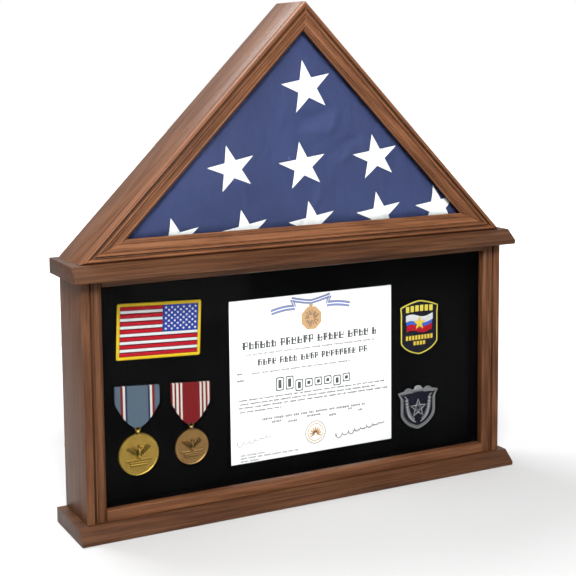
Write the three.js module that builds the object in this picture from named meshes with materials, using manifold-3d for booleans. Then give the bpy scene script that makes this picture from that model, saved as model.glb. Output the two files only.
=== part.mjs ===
// Display case for a folded flag: a triangular flag case standing on a shadow box with keepsakes.
// Millimetres, +Z up, -Y to the front, +X to the right.
// The origin is the middle of the underside of the base board.
import * as THREE from 'three';
import { mergeVertices } from 'three/addons/utils/BufferGeometryUtils.js';
import Module from 'manifold-3d';

const wasm = await Module();
wasm.setup();

// ---------------------------------------------------------------- driving dimensions
const GAP = 0.3; // glue line or running clearance between neighbouring pieces

// base board and cornice board, one and the same moulding
const BOARD_WIDTH = 666;
const BOARD_DEPTH = 106;
const BOARD_THICK = 20;
const BOARD_NOSE = 6; // upright front edge below the sloping bevel
const BOARD_BEVEL_RUN = 17;

// shadow box
const BOX_WIDTH = 640;
const BOX_HEIGHT = 313; // between the base board and the cornice board
const CASE_DEPTH = 86; // back edge of the side boards to the front of the frames
const WALL = 10; // thickness of the side, slope and floor boards
const STILE_WIDTH = 17;
const STILE_THICK = 14;
const RAIL_THICK = 12;
const BOTTOM_RAIL_HEIGHT = 14;
const TOP_RAIL_HEIGHT = 10;
const GLASS_THICK = 2.5;
const LINER_THICK = 5;

// removable back of the shadow box, with everything pinned to it
const PANEL_SETBACK = 0.8;
const PANEL_THICK = 6;
const PANEL_CLEARANCE = 0.6;
const PIN_BOARD_THICK = 17.3;
const FELT_THICK = 1.8;

// flag case
const FLAG_CASE_HEIGHT = 327;
const MOULDING_WIDTH = 27;
const MOULDING_THICK = 12;
const STOP_SIZE = 6;
const FLAG_THICK = 53.5; // folded flag, over its soft bulge
const FLAG_BULGE = 9;
const FLAG_EDGE_INSET = 12.5; // flag edge to the outside of the slope boards
const FLAG_BACK = 11; // back of the flag in front of the back edge of the case

// turn buttons and screws
const BUTTON_LENGTH = 32;
const BUTTON_WIDTH = 9.6;
const BUTTON_THICK = 2;
const SCREW_SHANK_R = 1.9;
const SCREW_HOLE_R = 2.15;
const PAN_HEAD_R = 4;
const PAN_HEAD_THICK = 1.8;
const COUNTERSUNK_HEAD_R = 4.4;

// medals
const RIBBON_THICK = 3.2;
const RING_R = 3.4;
const RING_WIRE_R = 0.7;
const RING_CLEARANCE = 0.35;
const MEDAL_THICK = 3;
const BALL_R = 3;

// ---------------------------------------------------------------- derived levels
const BACK_Y = BOARD_DEPTH / 2;
const BOX_BOTTOM = BOARD_THICK;
const BOX_TOP = BOX_BOTTOM + BOX_HEIGHT;
const CORNICE_TOP = BOX_TOP + BOARD_THICK;
const CASE_BOTTOM = CORNICE_TOP + GAP;
const HALF_BOX = BOX_WIDTH / 2;
const INNER_HALF = HALF_BOX - WALL;
const BOARD_FLAT = BOARD_DEPTH - BOARD_BEVEL_RUN;
const SLOPE_ANGLE = Math.atan2(FLAG_CASE_HEIGHT, HALF_BOX);
const MOULDING_BACK = CASE_DEPTH - MOULDING_THICK;
const UPPER_GLASS_FRONT = MOULDING_BACK - GAP;
const UPPER_GLASS_BACK = UPPER_GLASS_FRONT - GLASS_THICK;
const STILE_BACK = CASE_DEPTH - STILE_THICK;
const LOWER_GLASS_FRONT = STILE_BACK - GAP;
const LOWER_GLASS_BACK = LOWER_GLASS_FRONT - GLASS_THICK;
const PIN_BOARD_BACK = PANEL_SETBACK + PANEL_THICK + GAP;
const FELT_BACK = PIN_BOARD_BACK + PIN_BOARD_THICK;
const FELT_FRONT = FELT_BACK + FELT_THICK;
const ITEM_BACK = FELT_FRONT + GAP;
const LINER_BACK = FELT_FRONT + 2 * GAP;
const LINER_FRONT = LOWER_GLASS_BACK - GAP;
const MEDAL_DEPTH = ITEM_BACK + 3; // middle plane of the ribbons' hems, the rings and the discs

// ---------------------------------------------------------------- materials
function finish(name, color, roughness, metalness = 0) {
  return new THREE.MeshStandardMaterial({ name, color, roughness, metalness });
}

const WOOD = finish('walnut_stain', '#6b3f27', 0.42);
const PLYWOOD = finish('back_panel_ply', '#4a3628', 0.75);
const GLASS = new THREE.MeshStandardMaterial({
  name: 'glazing', color: '#e8f2f0', roughness: 0.05, transparent: true, opacity: 0.18,
});
const FELT = finish('black_felt', '#0a0a0b', 0.95);
const FOAM = finish('pin_board_foam', '#c9c2ae', 0.9);
const FLAG_CLOTH = finish('flag_cloth', '#39426e', 0.85);
const PAPER = finish('certificate_paper', '#eef0f1', 0.8);
const PATCH = finish('embroidered_patch', '#c2273c', 0.85);
const BADGE = finish('silver_thread', '#858688', 0.6);
const RIBBON = finish('medal_ribbon', '#5a6a76', 0.8);
const MEDAL_GOLD = finish('medal_gold', '#96793a', 0.35, 1);
const MEDAL_BRONZE = finish('medal_bronze', '#7c6138', 0.4, 1);
const BRASS = finish('brass_hardware', '#b08d4a', 0.35, 1);

// ---------------------------------------------------------------- geometry helpers
const caseGroup = new THREE.Group();

function addPiece(name, geometry, material) {
  const mesh = new THREE.Mesh(geometry, material);
  mesh.name = name;
  caseGroup.add(mesh);
  return mesh;
}

// y of a plane that lies `depth` in front of the back edge of the boards
function yAt(depth) {
  return BACK_Y - depth;
}

function block(x0, x1, depth0, depth1, z0, z1) {
  const geometry = new THREE.BoxGeometry(x1 - x0, depth1 - depth0, z1 - z0);
  return geometry.translate((x0 + x1) / 2, yAt((depth0 + depth1) / 2), (z0 + z1) / 2);
}

function outline(points) {
  return new THREE.Shape(points.map(([u, v]) => new THREE.Vector2(u, v)));
}

// an outline seen from the front (x, z), given thickness from depth0 to depth1
function frontPlate(shape, depth0, depth1) {
  const geometry = new THREE.ExtrudeGeometry(shape, {
    depth: depth1 - depth0, bevelEnabled: false, curveSegments: 12,
  });
  return geometry.rotateX(Math.PI / 2).translate(0, yAt(depth0), 0);
}

// A bar whose section is drawn as (s, t): s runs inwards from the edge start-end, t to the front.
// Its ends are mitred to the half angles given, measured from the edge.
function mitredBar(profile, start, end, startHalfAngle, endHalfAngle, backDepth) {
  const along = new THREE.Vector3(end[0] - start[0], 0, end[1] - start[1]);
  const length = along.length();
  along.normalize();
  const inwards = new THREE.Vector3(-along.z, 0, along.x);
  const geometry = new THREE.ExtrudeGeometry(outline(profile), { depth: 1, bevelEnabled: false });
  const position = geometry.attributes.position;
  const origin = new THREE.Vector3(start[0], yAt(backDepth), start[1]);
  const endGap = (halfAngle) => GAP / 2 / Math.sin(halfAngle);
  for (let i = 0; i < position.count; i += 1) {
    const s = position.getX(i);
    const t = position.getY(i);
    const from = s / Math.tan(startHalfAngle) + endGap(startHalfAngle);
    const to = length - s / Math.tan(endHalfAngle) - endGap(endHalfAngle);
    const distance = position.getZ(i) > 0.5 ? to : from;
    const point = origin.clone().addScaledVector(inwards, s).addScaledVector(along, distance);
    position.setXYZ(i, point.x, point.y - t, point.z);
  }
  return geometry;
}

function toSolid(geometry) {
  const bare = geometry.clone();
  bare.deleteAttribute('normal');
  bare.deleteAttribute('uv');
  const merged = mergeVertices(bare, 1e-4);
  return new wasm.Manifold(new wasm.Mesh({
    numProp: 3,
    vertProperties: new Float32Array(merged.attributes.position.array),
    triVerts: new Uint32Array(merged.index.array),
  }));
}

function toGeometry(solid) {
  const mesh = solid.getMesh();
  const geometry = new THREE.BufferGeometry();
  geometry.setAttribute('position', new THREE.BufferAttribute(mesh.vertProperties, 3));
  geometry.setIndex(new THREE.BufferAttribute(mesh.triVerts, 1));
  return geometry;
}

function cutAway(geometry, tools) {
  const solid = tools.reduce((rest, tool) => rest.subtract(toSolid(tool)), toSolid(geometry));
  return toGeometry(solid);
}

function joined(geometries) {
  const solid = geometries.slice(1).reduce((sum, g) => sum.add(toSolid(g)), toSolid(geometries[0]));
  return toGeometry(solid);
}

// round rod along Y between two depths
function rodAlongY(radius, x, z, depth0, depth1, sides = 20) {
  const geometry = new THREE.CylinderGeometry(radius, radius, depth1 - depth0, sides);
  return geometry.translate(x, yAt((depth0 + depth1) / 2), z);
}

// turned shape: the profile lists (radius, height), from the axis back to the axis
function turned(profile, sides = 20) {
  return new THREE.LatheGeometry(profile.map(([r, h]) => new THREE.Vector2(r, h)), sides);
}

// ---------------------------------------------------------------- triangle of the flag case
const FOOT_LEFT = [-HALF_BOX, CASE_BOTTOM];
const FOOT_RIGHT = [HALF_BOX, CASE_BOTTOM];
const APEX = [0, CASE_BOTTOM + FLAG_CASE_HEIGHT];

// half width of the triangle at height z, measured to a line `inset` inside the slopes
function halfWidthAt(z, inset) {
  const outer = HALF_BOX * (1 - (z - CASE_BOTTOM) / FLAG_CASE_HEIGHT);
  return outer - inset / Math.sin(SLOPE_ANGLE);
}

// height of the line `inset` inside the slopes, at a distance x from the middle
function slopeHeightAt(x, inset) {
  const outer = CASE_BOTTOM + FLAG_CASE_HEIGHT * (1 - x / HALF_BOX);
  return outer - inset / Math.cos(SLOPE_ANGLE);
}

// triangle standing on height z, its slopes `inset` inside the outer slopes
function insetTriangle(z, inset) {
  const half = halfWidthAt(z, inset);
  return outline([[-half, z], [half, z], [0, slopeHeightAt(0, inset)]]);
}

// ---------------------------------------------------------------- base board and cornice board
function mouldedBoard(z) {
  const section = outline([
    [0, 0], [BOARD_DEPTH - 1.5, 0], [BOARD_DEPTH, 1.5], [BOARD_DEPTH, BOARD_NOSE],
    [BOARD_FLAT + 1, BOARD_THICK - 0.8], [BOARD_FLAT, BOARD_THICK], [0, BOARD_THICK],
  ]);
  const geometry = new THREE.ExtrudeGeometry(section, { depth: BOARD_WIDTH, bevelEnabled: false });
  const frontwards = new THREE.Vector3(0, -1, 0);
  const upwards = new THREE.Vector3(0, 0, 1);
  const across = new THREE.Vector3(-1, 0, 0);
  geometry.applyMatrix4(new THREE.Matrix4().makeBasis(frontwards, upwards, across));
  return geometry.translate(BOARD_WIDTH / 2, BACK_Y, z);
}

// wood screw with a countersunk head: head flush with `bottom`, shank upwards
const COUNTERSINK = 2.6;
function uprightScrew(x, depth, bottom, length) {
  const geometry = turned([
    [0, 0], [COUNTERSUNK_HEAD_R, 0], [SCREW_SHANK_R, COUNTERSINK],
    [SCREW_SHANK_R, length - 4], [0, length],
  ]);
  return geometry.rotateX(Math.PI / 2).translate(x, yAt(depth), bottom);
}

// matching hole, a little larger all round
function uprightScrewHole(x, depth, bottom, length) {
  const ease = SCREW_HOLE_R - SCREW_SHANK_R;
  const geometry = turned([
    [0, -1], [COUNTERSUNK_HEAD_R + ease + 1, -1], [SCREW_HOLE_R, COUNTERSINK + ease],
    [SCREW_HOLE_R, length], [0, length + 1],
  ]);
  return geometry.rotateX(Math.PI / 2).translate(x, yAt(depth), bottom);
}

const BASE_SCREW_LENGTH = 45;
const CORNICE_SCREW_LENGTH = 28;
const SCREW_RECESS = 0.4;
const SCREW_X = HALF_BOX - WALL / 2;
const CORNICE_SCREW_X = 150;
const CORNICE_SCREW_DEPTH = 37;

const baseScrews = [
  { name: 'base_screw_back_left', x: -SCREW_X, depth: 22 },
  { name: 'base_screw_front_left', x: -SCREW_X, depth: 62 },
  { name: 'base_screw_back_right', x: SCREW_X, depth: 22 },
  { name: 'base_screw_front_right', x: SCREW_X, depth: 62 },
];
const corniceScrews = [
  { name: 'cornice_screw_left', x: -CORNICE_SCREW_X, depth: CORNICE_SCREW_DEPTH },
  { name: 'cornice_screw_right', x: CORNICE_SCREW_X, depth: CORNICE_SCREW_DEPTH },
];

function baseScrewHole(screw) {
  return uprightScrewHole(screw.x, screw.depth, SCREW_RECESS, BASE_SCREW_LENGTH);
}

function corniceScrewHole(screw) {
  return uprightScrewHole(screw.x, screw.depth, BOX_TOP + SCREW_RECESS, CORNICE_SCREW_LENGTH);
}

addPiece('base_board', cutAway(mouldedBoard(0), baseScrews.map(baseScrewHole)), WOOD);
addPiece('cornice_board', cutAway(mouldedBoard(BOX_TOP), corniceScrews.map(corniceScrewHole)), WOOD);
for (const screw of baseScrews) {
  addPiece(screw.name, uprightScrew(screw.x, screw.depth, SCREW_RECESS, BASE_SCREW_LENGTH), BRASS);
}
for (const screw of corniceScrews) {
  const bottom = BOX_TOP + SCREW_RECESS;
  addPiece(screw.name, uprightScrew(screw.x, screw.depth, bottom, CORNICE_SCREW_LENGTH), BRASS);
}

// ---------------------------------------------------------------- turn buttons, open at rest
// Each button lies along the edge of its board. Turned a quarter it reaches over the back panel.
const SIDE_BUTTON_X = HALF_BOX - WALL / 2;
const LOW_BUTTON_Z = 100;
const HIGH_BUTTON_Z = 235;
const SLOPE_BUTTON_Z = CASE_BOTTOM + FLAG_CASE_HEIGHT * 0.42;
const slopeButtonX = halfWidthAt(SLOPE_BUTTON_Z, WALL / 2);

const buttons = [
  { name: 'low_left', x: -SIDE_BUTTON_X, z: LOW_BUTTON_Z, turn: Math.PI / 2 },
  { name: 'high_left', x: -SIDE_BUTTON_X, z: HIGH_BUTTON_Z, turn: Math.PI / 2 },
  { name: 'low_right', x: SIDE_BUTTON_X, z: LOW_BUTTON_Z, turn: Math.PI / 2 },
  { name: 'high_right', x: SIDE_BUTTON_X, z: HIGH_BUTTON_Z, turn: Math.PI / 2 },
  { name: 'slope_left', x: -slopeButtonX, z: SLOPE_BUTTON_Z, turn: SLOPE_ANGLE },
  { name: 'slope_right', x: slopeButtonX, z: SLOPE_BUTTON_Z, turn: Math.PI - SLOPE_ANGLE },
  { name: 'floor', x: 0, z: CASE_BOTTOM + WALL / 2, turn: 0 },
];
const BUTTON_SCREW_REACH = 16;

function buttonScrewHole(button) {
  return rodAlongY(SCREW_HOLE_R, button.x, button.z, -5, BUTTON_SCREW_REACH + 1);
}

function buttonHoles(...names) {
  return buttons.filter((button) => names.includes(button.name)).map(buttonScrewHole);
}

function turnButton(button) {
  const r = BUTTON_WIDTH / 2;
  const reach = BUTTON_LENGTH - BUTTON_WIDTH;
  const shape = new THREE.Shape();
  shape.absarc(0, 0, r, Math.PI / 2, 1.5 * Math.PI, false);
  shape.absarc(reach, 0, r * 0.8, -Math.PI / 2, Math.PI / 2, false);
  const hole = new THREE.Path();
  hole.absarc(0, 0, SCREW_HOLE_R, 0, 2 * Math.PI, true);
  shape.holes.push(hole);
  const geometry = frontPlate(shape, -GAP - BUTTON_THICK, -GAP);
  geometry.translate(0, -BACK_Y, 0).rotateY(-button.turn);
  return geometry.translate(button.x, BACK_Y, button.z);
}

function buttonScrew(button) {
  const headBack = GAP + BUTTON_THICK + GAP + PAN_HEAD_THICK;
  const headFront = headBack - PAN_HEAD_THICK;
  const geometry = turned([
    [0, headBack], [0.6 * PAN_HEAD_R, headBack - 0.2], [PAN_HEAD_R, headFront + 0.6],
    [PAN_HEAD_R, headFront], [SCREW_SHANK_R, headFront], [SCREW_SHANK_R, 4 - BUTTON_SCREW_REACH],
    [0, -BUTTON_SCREW_REACH],
  ].reverse());
  return geometry.translate(button.x, BACK_Y, button.z);
}

for (const button of buttons) {
  addPiece(`turn_button_${button.name}`, turnButton(button), BRASS);
  addPiece(`button_screw_${button.name}`, buttonScrew(button), BRASS);
}

// ---------------------------------------------------------------- shadow box
const sides = [{ name: 'left', sign: -1 }, { name: 'right', sign: 1 }];

// moulding of the stiles, as (s, t): a groove beside the board, a bead, a shallow cove and a lip
const STILE_PROFILE = [
  [0, 0], [0, 9.5], [2.6, 9.5], [2.8, 12.6], [3.3, 13.6], [4, 14], [4.8, 13.7], [5.3, 12.6],
  [7.5, 12], [10, 12], [12.4, 12.7], [12.9, 13.4], [13.6, 13.4], [14, 12.2], [16.2, 11],
  [STILE_WIDTH, 10.2], [STILE_WIDTH, 0],
];

for (const { name, sign } of sides) {
  const outer = sign * HALF_BOX;
  const inner = sign * INNER_HALF;
  const board = block(
    Math.min(outer, inner), Math.max(outer, inner), 0, CASE_DEPTH, BOX_BOTTOM + GAP, BOX_TOP - GAP,
  );
  const holes = [
    ...buttonHoles(`low_${name}`, `high_${name}`),
    ...baseScrews.filter((screw) => Math.sign(screw.x) === sign).map(baseScrewHole),
  ];
  addPiece(`side_board_${name}`, cutAway(board, holes), WOOD);

  const stileX = inner - sign * GAP;
  const foot = [stileX, BOX_BOTTOM + GAP];
  const head = [stileX, BOX_TOP - GAP];
  const [from, to] = sign < 0 ? [head, foot] : [foot, head];
  const stile = mitredBar(STILE_PROFILE, from, to, Math.PI / 2, Math.PI / 2, STILE_BACK);
  addPiece(`stile_${name}`, stile, WOOD);

  const linerOuter = inner - sign * GAP;
  const linerInner = linerOuter - sign * LINER_THICK;
  addPiece(`liner_${name}`, block(
    Math.min(linerOuter, linerInner), Math.max(linerOuter, linerInner),
    LINER_BACK, LINER_FRONT, BOX_BOTTOM + GAP, BOX_TOP - GAP,
  ), FELT);
}

const RAIL_HALF = INNER_HALF - GAP - STILE_WIDTH - GAP;
const RAIL_BACK = STILE_BACK;
const RAIL_EASE = 2.5;

// plain rail with its front edge eased towards the glass
function rail(outerZ, innerZ) {
  const inwards = Math.sign(innerZ - outerZ);
  const height = Math.abs(innerZ - outerZ);
  const section = [
    [0, 0], [0, RAIL_THICK], [height - 1, RAIL_THICK], [height, RAIL_THICK - RAIL_EASE], [height, 0],
  ];
  const left = [-RAIL_HALF, outerZ];
  const right = [RAIL_HALF, outerZ];
  const [from, to] = inwards > 0 ? [left, right] : [right, left];
  return mitredBar(section, from, to, Math.PI / 2, Math.PI / 2, RAIL_BACK);
}

addPiece('bottom_rail', rail(BOX_BOTTOM + GAP, BOX_BOTTOM + BOTTOM_RAIL_HEIGHT), WOOD);
addPiece('top_rail', rail(BOX_TOP - GAP, BOX_TOP - TOP_RAIL_HEIGHT), WOOD);

const PANE_HALF = INNER_HALF - GAP;
addPiece('glass_lower', block(
  -PANE_HALF, PANE_HALF, LOWER_GLASS_BACK, LOWER_GLASS_FRONT, BOX_BOTTOM + GAP, BOX_TOP - GAP,
), GLASS);

const LINER_SPAN = INNER_HALF - 2 * GAP - LINER_THICK;
addPiece('liner_bottom', block(
  -LINER_SPAN, LINER_SPAN, LINER_BACK, LINER_FRONT, BOX_BOTTOM + GAP, BOX_BOTTOM + GAP + LINER_THICK,
), FELT);
addPiece('liner_top', block(
  -LINER_SPAN, LINER_SPAN, LINER_BACK, LINER_FRONT, BOX_TOP - GAP - LINER_THICK, BOX_TOP - GAP,
), FELT);

// ---------------------------------------------------------------- removable back of the shadow box
const PANEL_HALF = INNER_HALF - PANEL_CLEARANCE;
const PANEL_LOW = BOX_BOTTOM + PANEL_CLEARANCE;
const PANEL_HIGH = BOX_TOP - PANEL_CLEARANCE;

function backLayer(depth, thick) {
  return block(-PANEL_HALF, PANEL_HALF, depth, depth + thick, PANEL_LOW, PANEL_HIGH);
}

addPiece('back_panel_lower', backLayer(PANEL_SETBACK, PANEL_THICK), PLYWOOD);
addPiece('pin_board', backLayer(PIN_BOARD_BACK, PIN_BOARD_THICK - GAP), FOAM);
addPiece('felt_cover', backLayer(FELT_BACK, FELT_THICK), FELT);

// ---------------------------------------------------------------- keepsakes on the felt
const CERTIFICATE_LEFT = -91;
const CERTIFICATE_RIGHT = 168;
const CERTIFICATE_LOW = 46;
const CERTIFICATE_HIGH = 274;
const PAPER_THICK = 0.8;
addPiece('certificate', block(
  CERTIFICATE_LEFT, CERTIFICATE_RIGHT, ITEM_BACK, ITEM_BACK + PAPER_THICK,
  CERTIFICATE_LOW, CERTIFICATE_HIGH,
), PAPER);

const PATCH_THICK = 2.2;

// rectangle with rounded corners, centred on (x, z) and turned by `tilt`
function flagPatchOutline(x, z, width, height, corner, tilt) {
  const shape = new THREE.Shape();
  const u = width / 2 - corner;
  const v = height / 2 - corner;
  shape.absarc(u, v, corner, 0, Math.PI / 2);
  shape.absarc(-u, v, corner, Math.PI / 2, Math.PI);
  shape.absarc(-u, -v, corner, Math.PI, 1.5 * Math.PI);
  shape.absarc(u, -v, corner, 1.5 * Math.PI, 2 * Math.PI);
  const centre = new THREE.Vector2();
  const points = shape.getPoints(4).map((p) => p.rotateAround(centre, tilt).add({ x, y: z }));
  return new THREE.Shape(points);
}

const FLAG_PATCH = { x: -193.3, z: 247.2, width: 119.5, height: 75, corner: 2.5, tilt: -0.045 };
addPiece('flag_patch', frontPlate(
  flagPatchOutline(...Object.values(FLAG_PATCH)), ITEM_BACK, ITEM_BACK + PATCH_THICK,
), PATCH);

// shield with an arched head: half widths at the shoulder and the hip, heights from the point
function shieldOutline(x, z, halfTop, halfHip, hipHeight, shoulderHeight, height) {
  const shape = new THREE.Shape();
  shape.moveTo(x, z);
  shape.quadraticCurveTo(x + halfHip * 0.75, z + hipHeight * 0.25, x + halfHip, z + hipHeight);
  shape.lineTo(x + halfTop, z + shoulderHeight);
  shape.quadraticCurveTo(x + halfTop * 0.5, z + height - 2, x, z + height);
  shape.quadraticCurveTo(x - halfTop * 0.5, z + height - 2, x - halfTop, z + shoulderHeight);
  shape.lineTo(x - halfHip, z + hipHeight);
  shape.quadraticCurveTo(x - halfHip * 0.75, z + hipHeight * 0.25, x, z);
  return shape;
}

const shieldPatch = shieldOutline(216.5, 166, 33, 32, 18, 72, 81);
addPiece('shield_patch', frontPlate(shieldPatch, ITEM_BACK, ITEM_BACK + PATCH_THICK), PATCH);

const silverBadge = shieldOutline(214.5, 53.5, 35.5, 30, 23, 60, 66.5);
addPiece('silver_badge', frontPlate(silverBadge, ITEM_BACK, ITEM_BACK + PATCH_THICK), BADGE);

// ---------------------------------------------------------------- medals
// Each medal: a pinned ribbon, a ring through its hem, and a disc that swings on the ring.
const medals = [
  {
    name: 'left', x: -227.3, ringZ: 118.6, discR: 28.2, metal: MEDAL_GOLD,
    ribbon: { top: 176.5, width: 62, shoulder: 153, tipHalf: 6, lean: -0.07 },
  },
  {
    name: 'right', x: -151, ringZ: 113.6, discR: 24.4, metal: MEDAL_BRONZE,
    ribbon: { top: 171.5, width: 56.6, shoulder: 146, tipHalf: 7.5, lean: -0.07 },
  },
];

function ringGeometry(x, z, wireR, sides) {
  const section = [];
  for (let i = 0; i <= sides; i += 1) {
    const angle = (2 * Math.PI * i) / sides;
    section.push([RING_R + wireR * Math.cos(angle), wireR * Math.sin(angle)]);
  }
  return turned(section, 28).translate(x, yAt(MEDAL_DEPTH), z);
}

function ribbonOutline(x, ringZ, { top, width, shoulder, tipHalf, lean }) {
  const half = width / 2;
  const tip = ringZ + RING_R - 1.8;
  const shape = new THREE.Shape();
  shape.moveTo(x - tipHalf, tip);
  shape.lineTo(x + tipHalf, tip);
  shape.quadraticCurveTo(x + half * 0.55, tip + 8, x + half, shoulder + half * lean);
  shape.lineTo(x + half, top + half * lean);
  shape.lineTo(x - half, top - half * lean);
  shape.lineTo(x - half, shoulder - half * lean);
  shape.quadraticCurveTo(x - half * 0.55, tip + 8, x - tipHalf, tip);
  return shape;
}

for (const medal of medals) {
  const { name, x, ringZ, discR, metal } = medal;
  const clearance = ringGeometry(x, ringZ, RING_WIRE_R + RING_CLEARANCE, 10);
  const half = RIBBON_THICK / 2;
  const ribbon = frontPlate(
    ribbonOutline(x, ringZ, medal.ribbon), MEDAL_DEPTH - half, MEDAL_DEPTH + half,
  );
  addPiece(`medal_${name}_ribbon`, cutAway(ribbon, [clearance]), RIBBON);
  addPiece(`medal_${name}_ring`, ringGeometry(x, ringZ, RING_WIRE_R, 8), metal);

  const ballZ = ringZ - RING_R - 0.4;
  const discZ = ballZ - BALL_R + 1 - discR;
  const ball = new THREE.SphereGeometry(BALL_R, 14, 10).translate(x, yAt(MEDAL_DEPTH), ballZ);
  const thickHalf = MEDAL_THICK / 2;
  const disc = rodAlongY(discR, x, discZ, MEDAL_DEPTH - thickHalf, MEDAL_DEPTH + thickHalf, 48);
  addPiece(`medal_${name}_disc`, cutAway(joined([disc, ball]), [clearance]), metal);
}

// ---------------------------------------------------------------- flag case
const BASE_HALF_ANGLE = SLOPE_ANGLE / 2;
const APEX_HALF_ANGLE = Math.PI / 2 - SLOPE_ANGLE;

const frameBars = [
  { name: 'bottom', from: FOOT_LEFT, to: FOOT_RIGHT, mitres: [BASE_HALF_ANGLE, BASE_HALF_ANGLE] },
  { name: 'right', from: FOOT_RIGHT, to: APEX, mitres: [BASE_HALF_ANGLE, APEX_HALF_ANGLE] },
  { name: 'left', from: APEX, to: FOOT_LEFT, mitres: [APEX_HALF_ANGLE, BASE_HALF_ANGLE] },
];

// moulding of the face frame, as (s, t): an outer bead, a small bead, a wide cove, a fine bead, a lip
const FACE_PROFILE = [
  [0, 0], [0, 7.5], [0.6, 9.9], [1.9, 11.5], [3.4, 12], [4.9, 11.5], [6, 10], [6.4, 8.6],
  [7.4, 8.4], [8.2, 9.6], [9, 10.8], [10.1, 11.2], [11.2, 10.7], [12, 9.2], [12.9, 8.4],
  [13.7, 9.2], [16, 7.6], [18.5, 6.9], [21, 7.2], [21.8, 6.2], [22.6, 7], [23.4, 7.4],
  [24.2, 6.6], [24.6, 5.2], [25.6, 5], [MOULDING_WIDTH, 3.6], [MOULDING_WIDTH, 0],
];
const stopNear = WALL + GAP;
const stopFar = stopNear + STOP_SIZE;
const stopFront = UPPER_GLASS_BACK - GAP - MOULDING_BACK;
const STOP_PROFILE = [
  [stopNear, stopFront - STOP_SIZE], [stopFar, stopFront - STOP_SIZE],
  [stopFar, stopFront], [stopNear, stopFront],
];

for (const { name, from, to, mitres } of frameBars) {
  addPiece(`face_moulding_${name}`, mitredBar(FACE_PROFILE, from, to, ...mitres, MOULDING_BACK), WOOD);
  addPiece(`glass_stop_${name}`, mitredBar(STOP_PROFILE, from, to, ...mitres, MOULDING_BACK), WOOD);
}

const BOARD_FRONT = MOULDING_BACK - GAP;
const FLOOR_TOP = CASE_BOTTOM + WALL;

// slope board: square cut at the foot, mitred upright at the apex
function slopeBoard(sign) {
  const foot = halfWidthAt(CASE_BOTTOM, 0);
  const innerFoot = halfWidthAt(CASE_BOTTOM, WALL);
  const mitre = GAP / 2;
  const shape = outline([
    [sign * foot, CASE_BOTTOM], [sign * mitre, slopeHeightAt(mitre, 0)],
    [sign * mitre, slopeHeightAt(mitre, WALL)], [sign * innerFoot, CASE_BOTTOM],
  ]);
  return frontPlate(shape, 0, BOARD_FRONT);
}

for (const { name, sign } of sides) {
  addPiece(`slope_board_${name}`, cutAway(slopeBoard(sign), buttonHoles(`slope_${name}`)), WOOD);
}

const floorInset = WALL + GAP;
const floorShape = outline([
  [-halfWidthAt(CASE_BOTTOM, floorInset), CASE_BOTTOM],
  [halfWidthAt(CASE_BOTTOM, floorInset), CASE_BOTTOM],
  [halfWidthAt(FLOOR_TOP, floorInset), FLOOR_TOP],
  [-halfWidthAt(FLOOR_TOP, floorInset), FLOOR_TOP],
]);
addPiece('flag_case_floor', cutAway(frontPlate(floorShape, 0, BOARD_FRONT), [
  ...buttonHoles('floor'), ...corniceScrews.map(corniceScrewHole),
]), WOOD);

addPiece('glass_upper', frontPlate(
  insetTriangle(FLOOR_TOP + GAP, WALL + GAP), UPPER_GLASS_BACK, UPPER_GLASS_FRONT,
), GLASS);

addPiece('back_panel_upper', frontPlate(
  insetTriangle(FLOOR_TOP + PANEL_CLEARANCE, WALL + PANEL_CLEARANCE),
  PANEL_SETBACK, PANEL_SETBACK + PANEL_THICK,
), PLYWOOD);

// folded flag: a soft triangle that bulges between its two faces
function foldedFlag() {
  const base = FLOOR_TOP + GAP + FLAG_BULGE;
  const shape = insetTriangle(base, FLAG_EDGE_INSET + FLAG_BULGE);
  const geometry = new THREE.ExtrudeGeometry(shape, {
    depth: FLAG_THICK - 2 * FLAG_BULGE, bevelEnabled: true, bevelThickness: FLAG_BULGE,
    bevelSize: FLAG_BULGE, bevelSegments: 3,
  });
  return geometry.rotateX(Math.PI / 2).translate(0, yAt(FLAG_BACK + FLAG_BULGE), 0);
}
addPiece('folded_flag', foldedFlag(), FLAG_CLOTH);

export default caseGroup;
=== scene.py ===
import math
import random

import bmesh
import bpy
from mathutils import Matrix, Vector, noise


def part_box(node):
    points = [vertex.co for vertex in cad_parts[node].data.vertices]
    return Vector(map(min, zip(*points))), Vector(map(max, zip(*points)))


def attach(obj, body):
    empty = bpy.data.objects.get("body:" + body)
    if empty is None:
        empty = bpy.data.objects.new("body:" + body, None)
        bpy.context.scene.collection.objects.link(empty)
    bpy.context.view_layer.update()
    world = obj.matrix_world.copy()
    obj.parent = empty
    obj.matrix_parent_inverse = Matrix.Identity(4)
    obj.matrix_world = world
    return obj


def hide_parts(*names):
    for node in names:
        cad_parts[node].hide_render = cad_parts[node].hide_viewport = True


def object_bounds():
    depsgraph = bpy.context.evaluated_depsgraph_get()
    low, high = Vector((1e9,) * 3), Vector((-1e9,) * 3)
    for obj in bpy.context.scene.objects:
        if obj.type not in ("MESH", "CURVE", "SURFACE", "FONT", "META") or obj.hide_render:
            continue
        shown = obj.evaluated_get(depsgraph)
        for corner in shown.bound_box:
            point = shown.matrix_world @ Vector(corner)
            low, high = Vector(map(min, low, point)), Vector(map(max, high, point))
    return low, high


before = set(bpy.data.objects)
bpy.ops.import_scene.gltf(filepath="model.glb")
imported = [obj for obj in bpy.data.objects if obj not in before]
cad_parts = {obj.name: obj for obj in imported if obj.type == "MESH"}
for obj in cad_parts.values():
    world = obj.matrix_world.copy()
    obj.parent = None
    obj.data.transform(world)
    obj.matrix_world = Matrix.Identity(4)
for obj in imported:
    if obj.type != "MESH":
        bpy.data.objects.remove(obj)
CAD_BOX = [list(corner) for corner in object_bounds()]

bl_info = {
    "name": "Folded Flag Display Case",
    "version": (1, 0, 0),
    "blender": (4, 5, 0),
    "location": "3D View > Sidebar > Flag Case",
    "description": "Builds a walnut display case with a folded flag, medals, patches and a certificate",
    "category": "Add Mesh",
}

MM = 0.001

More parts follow.
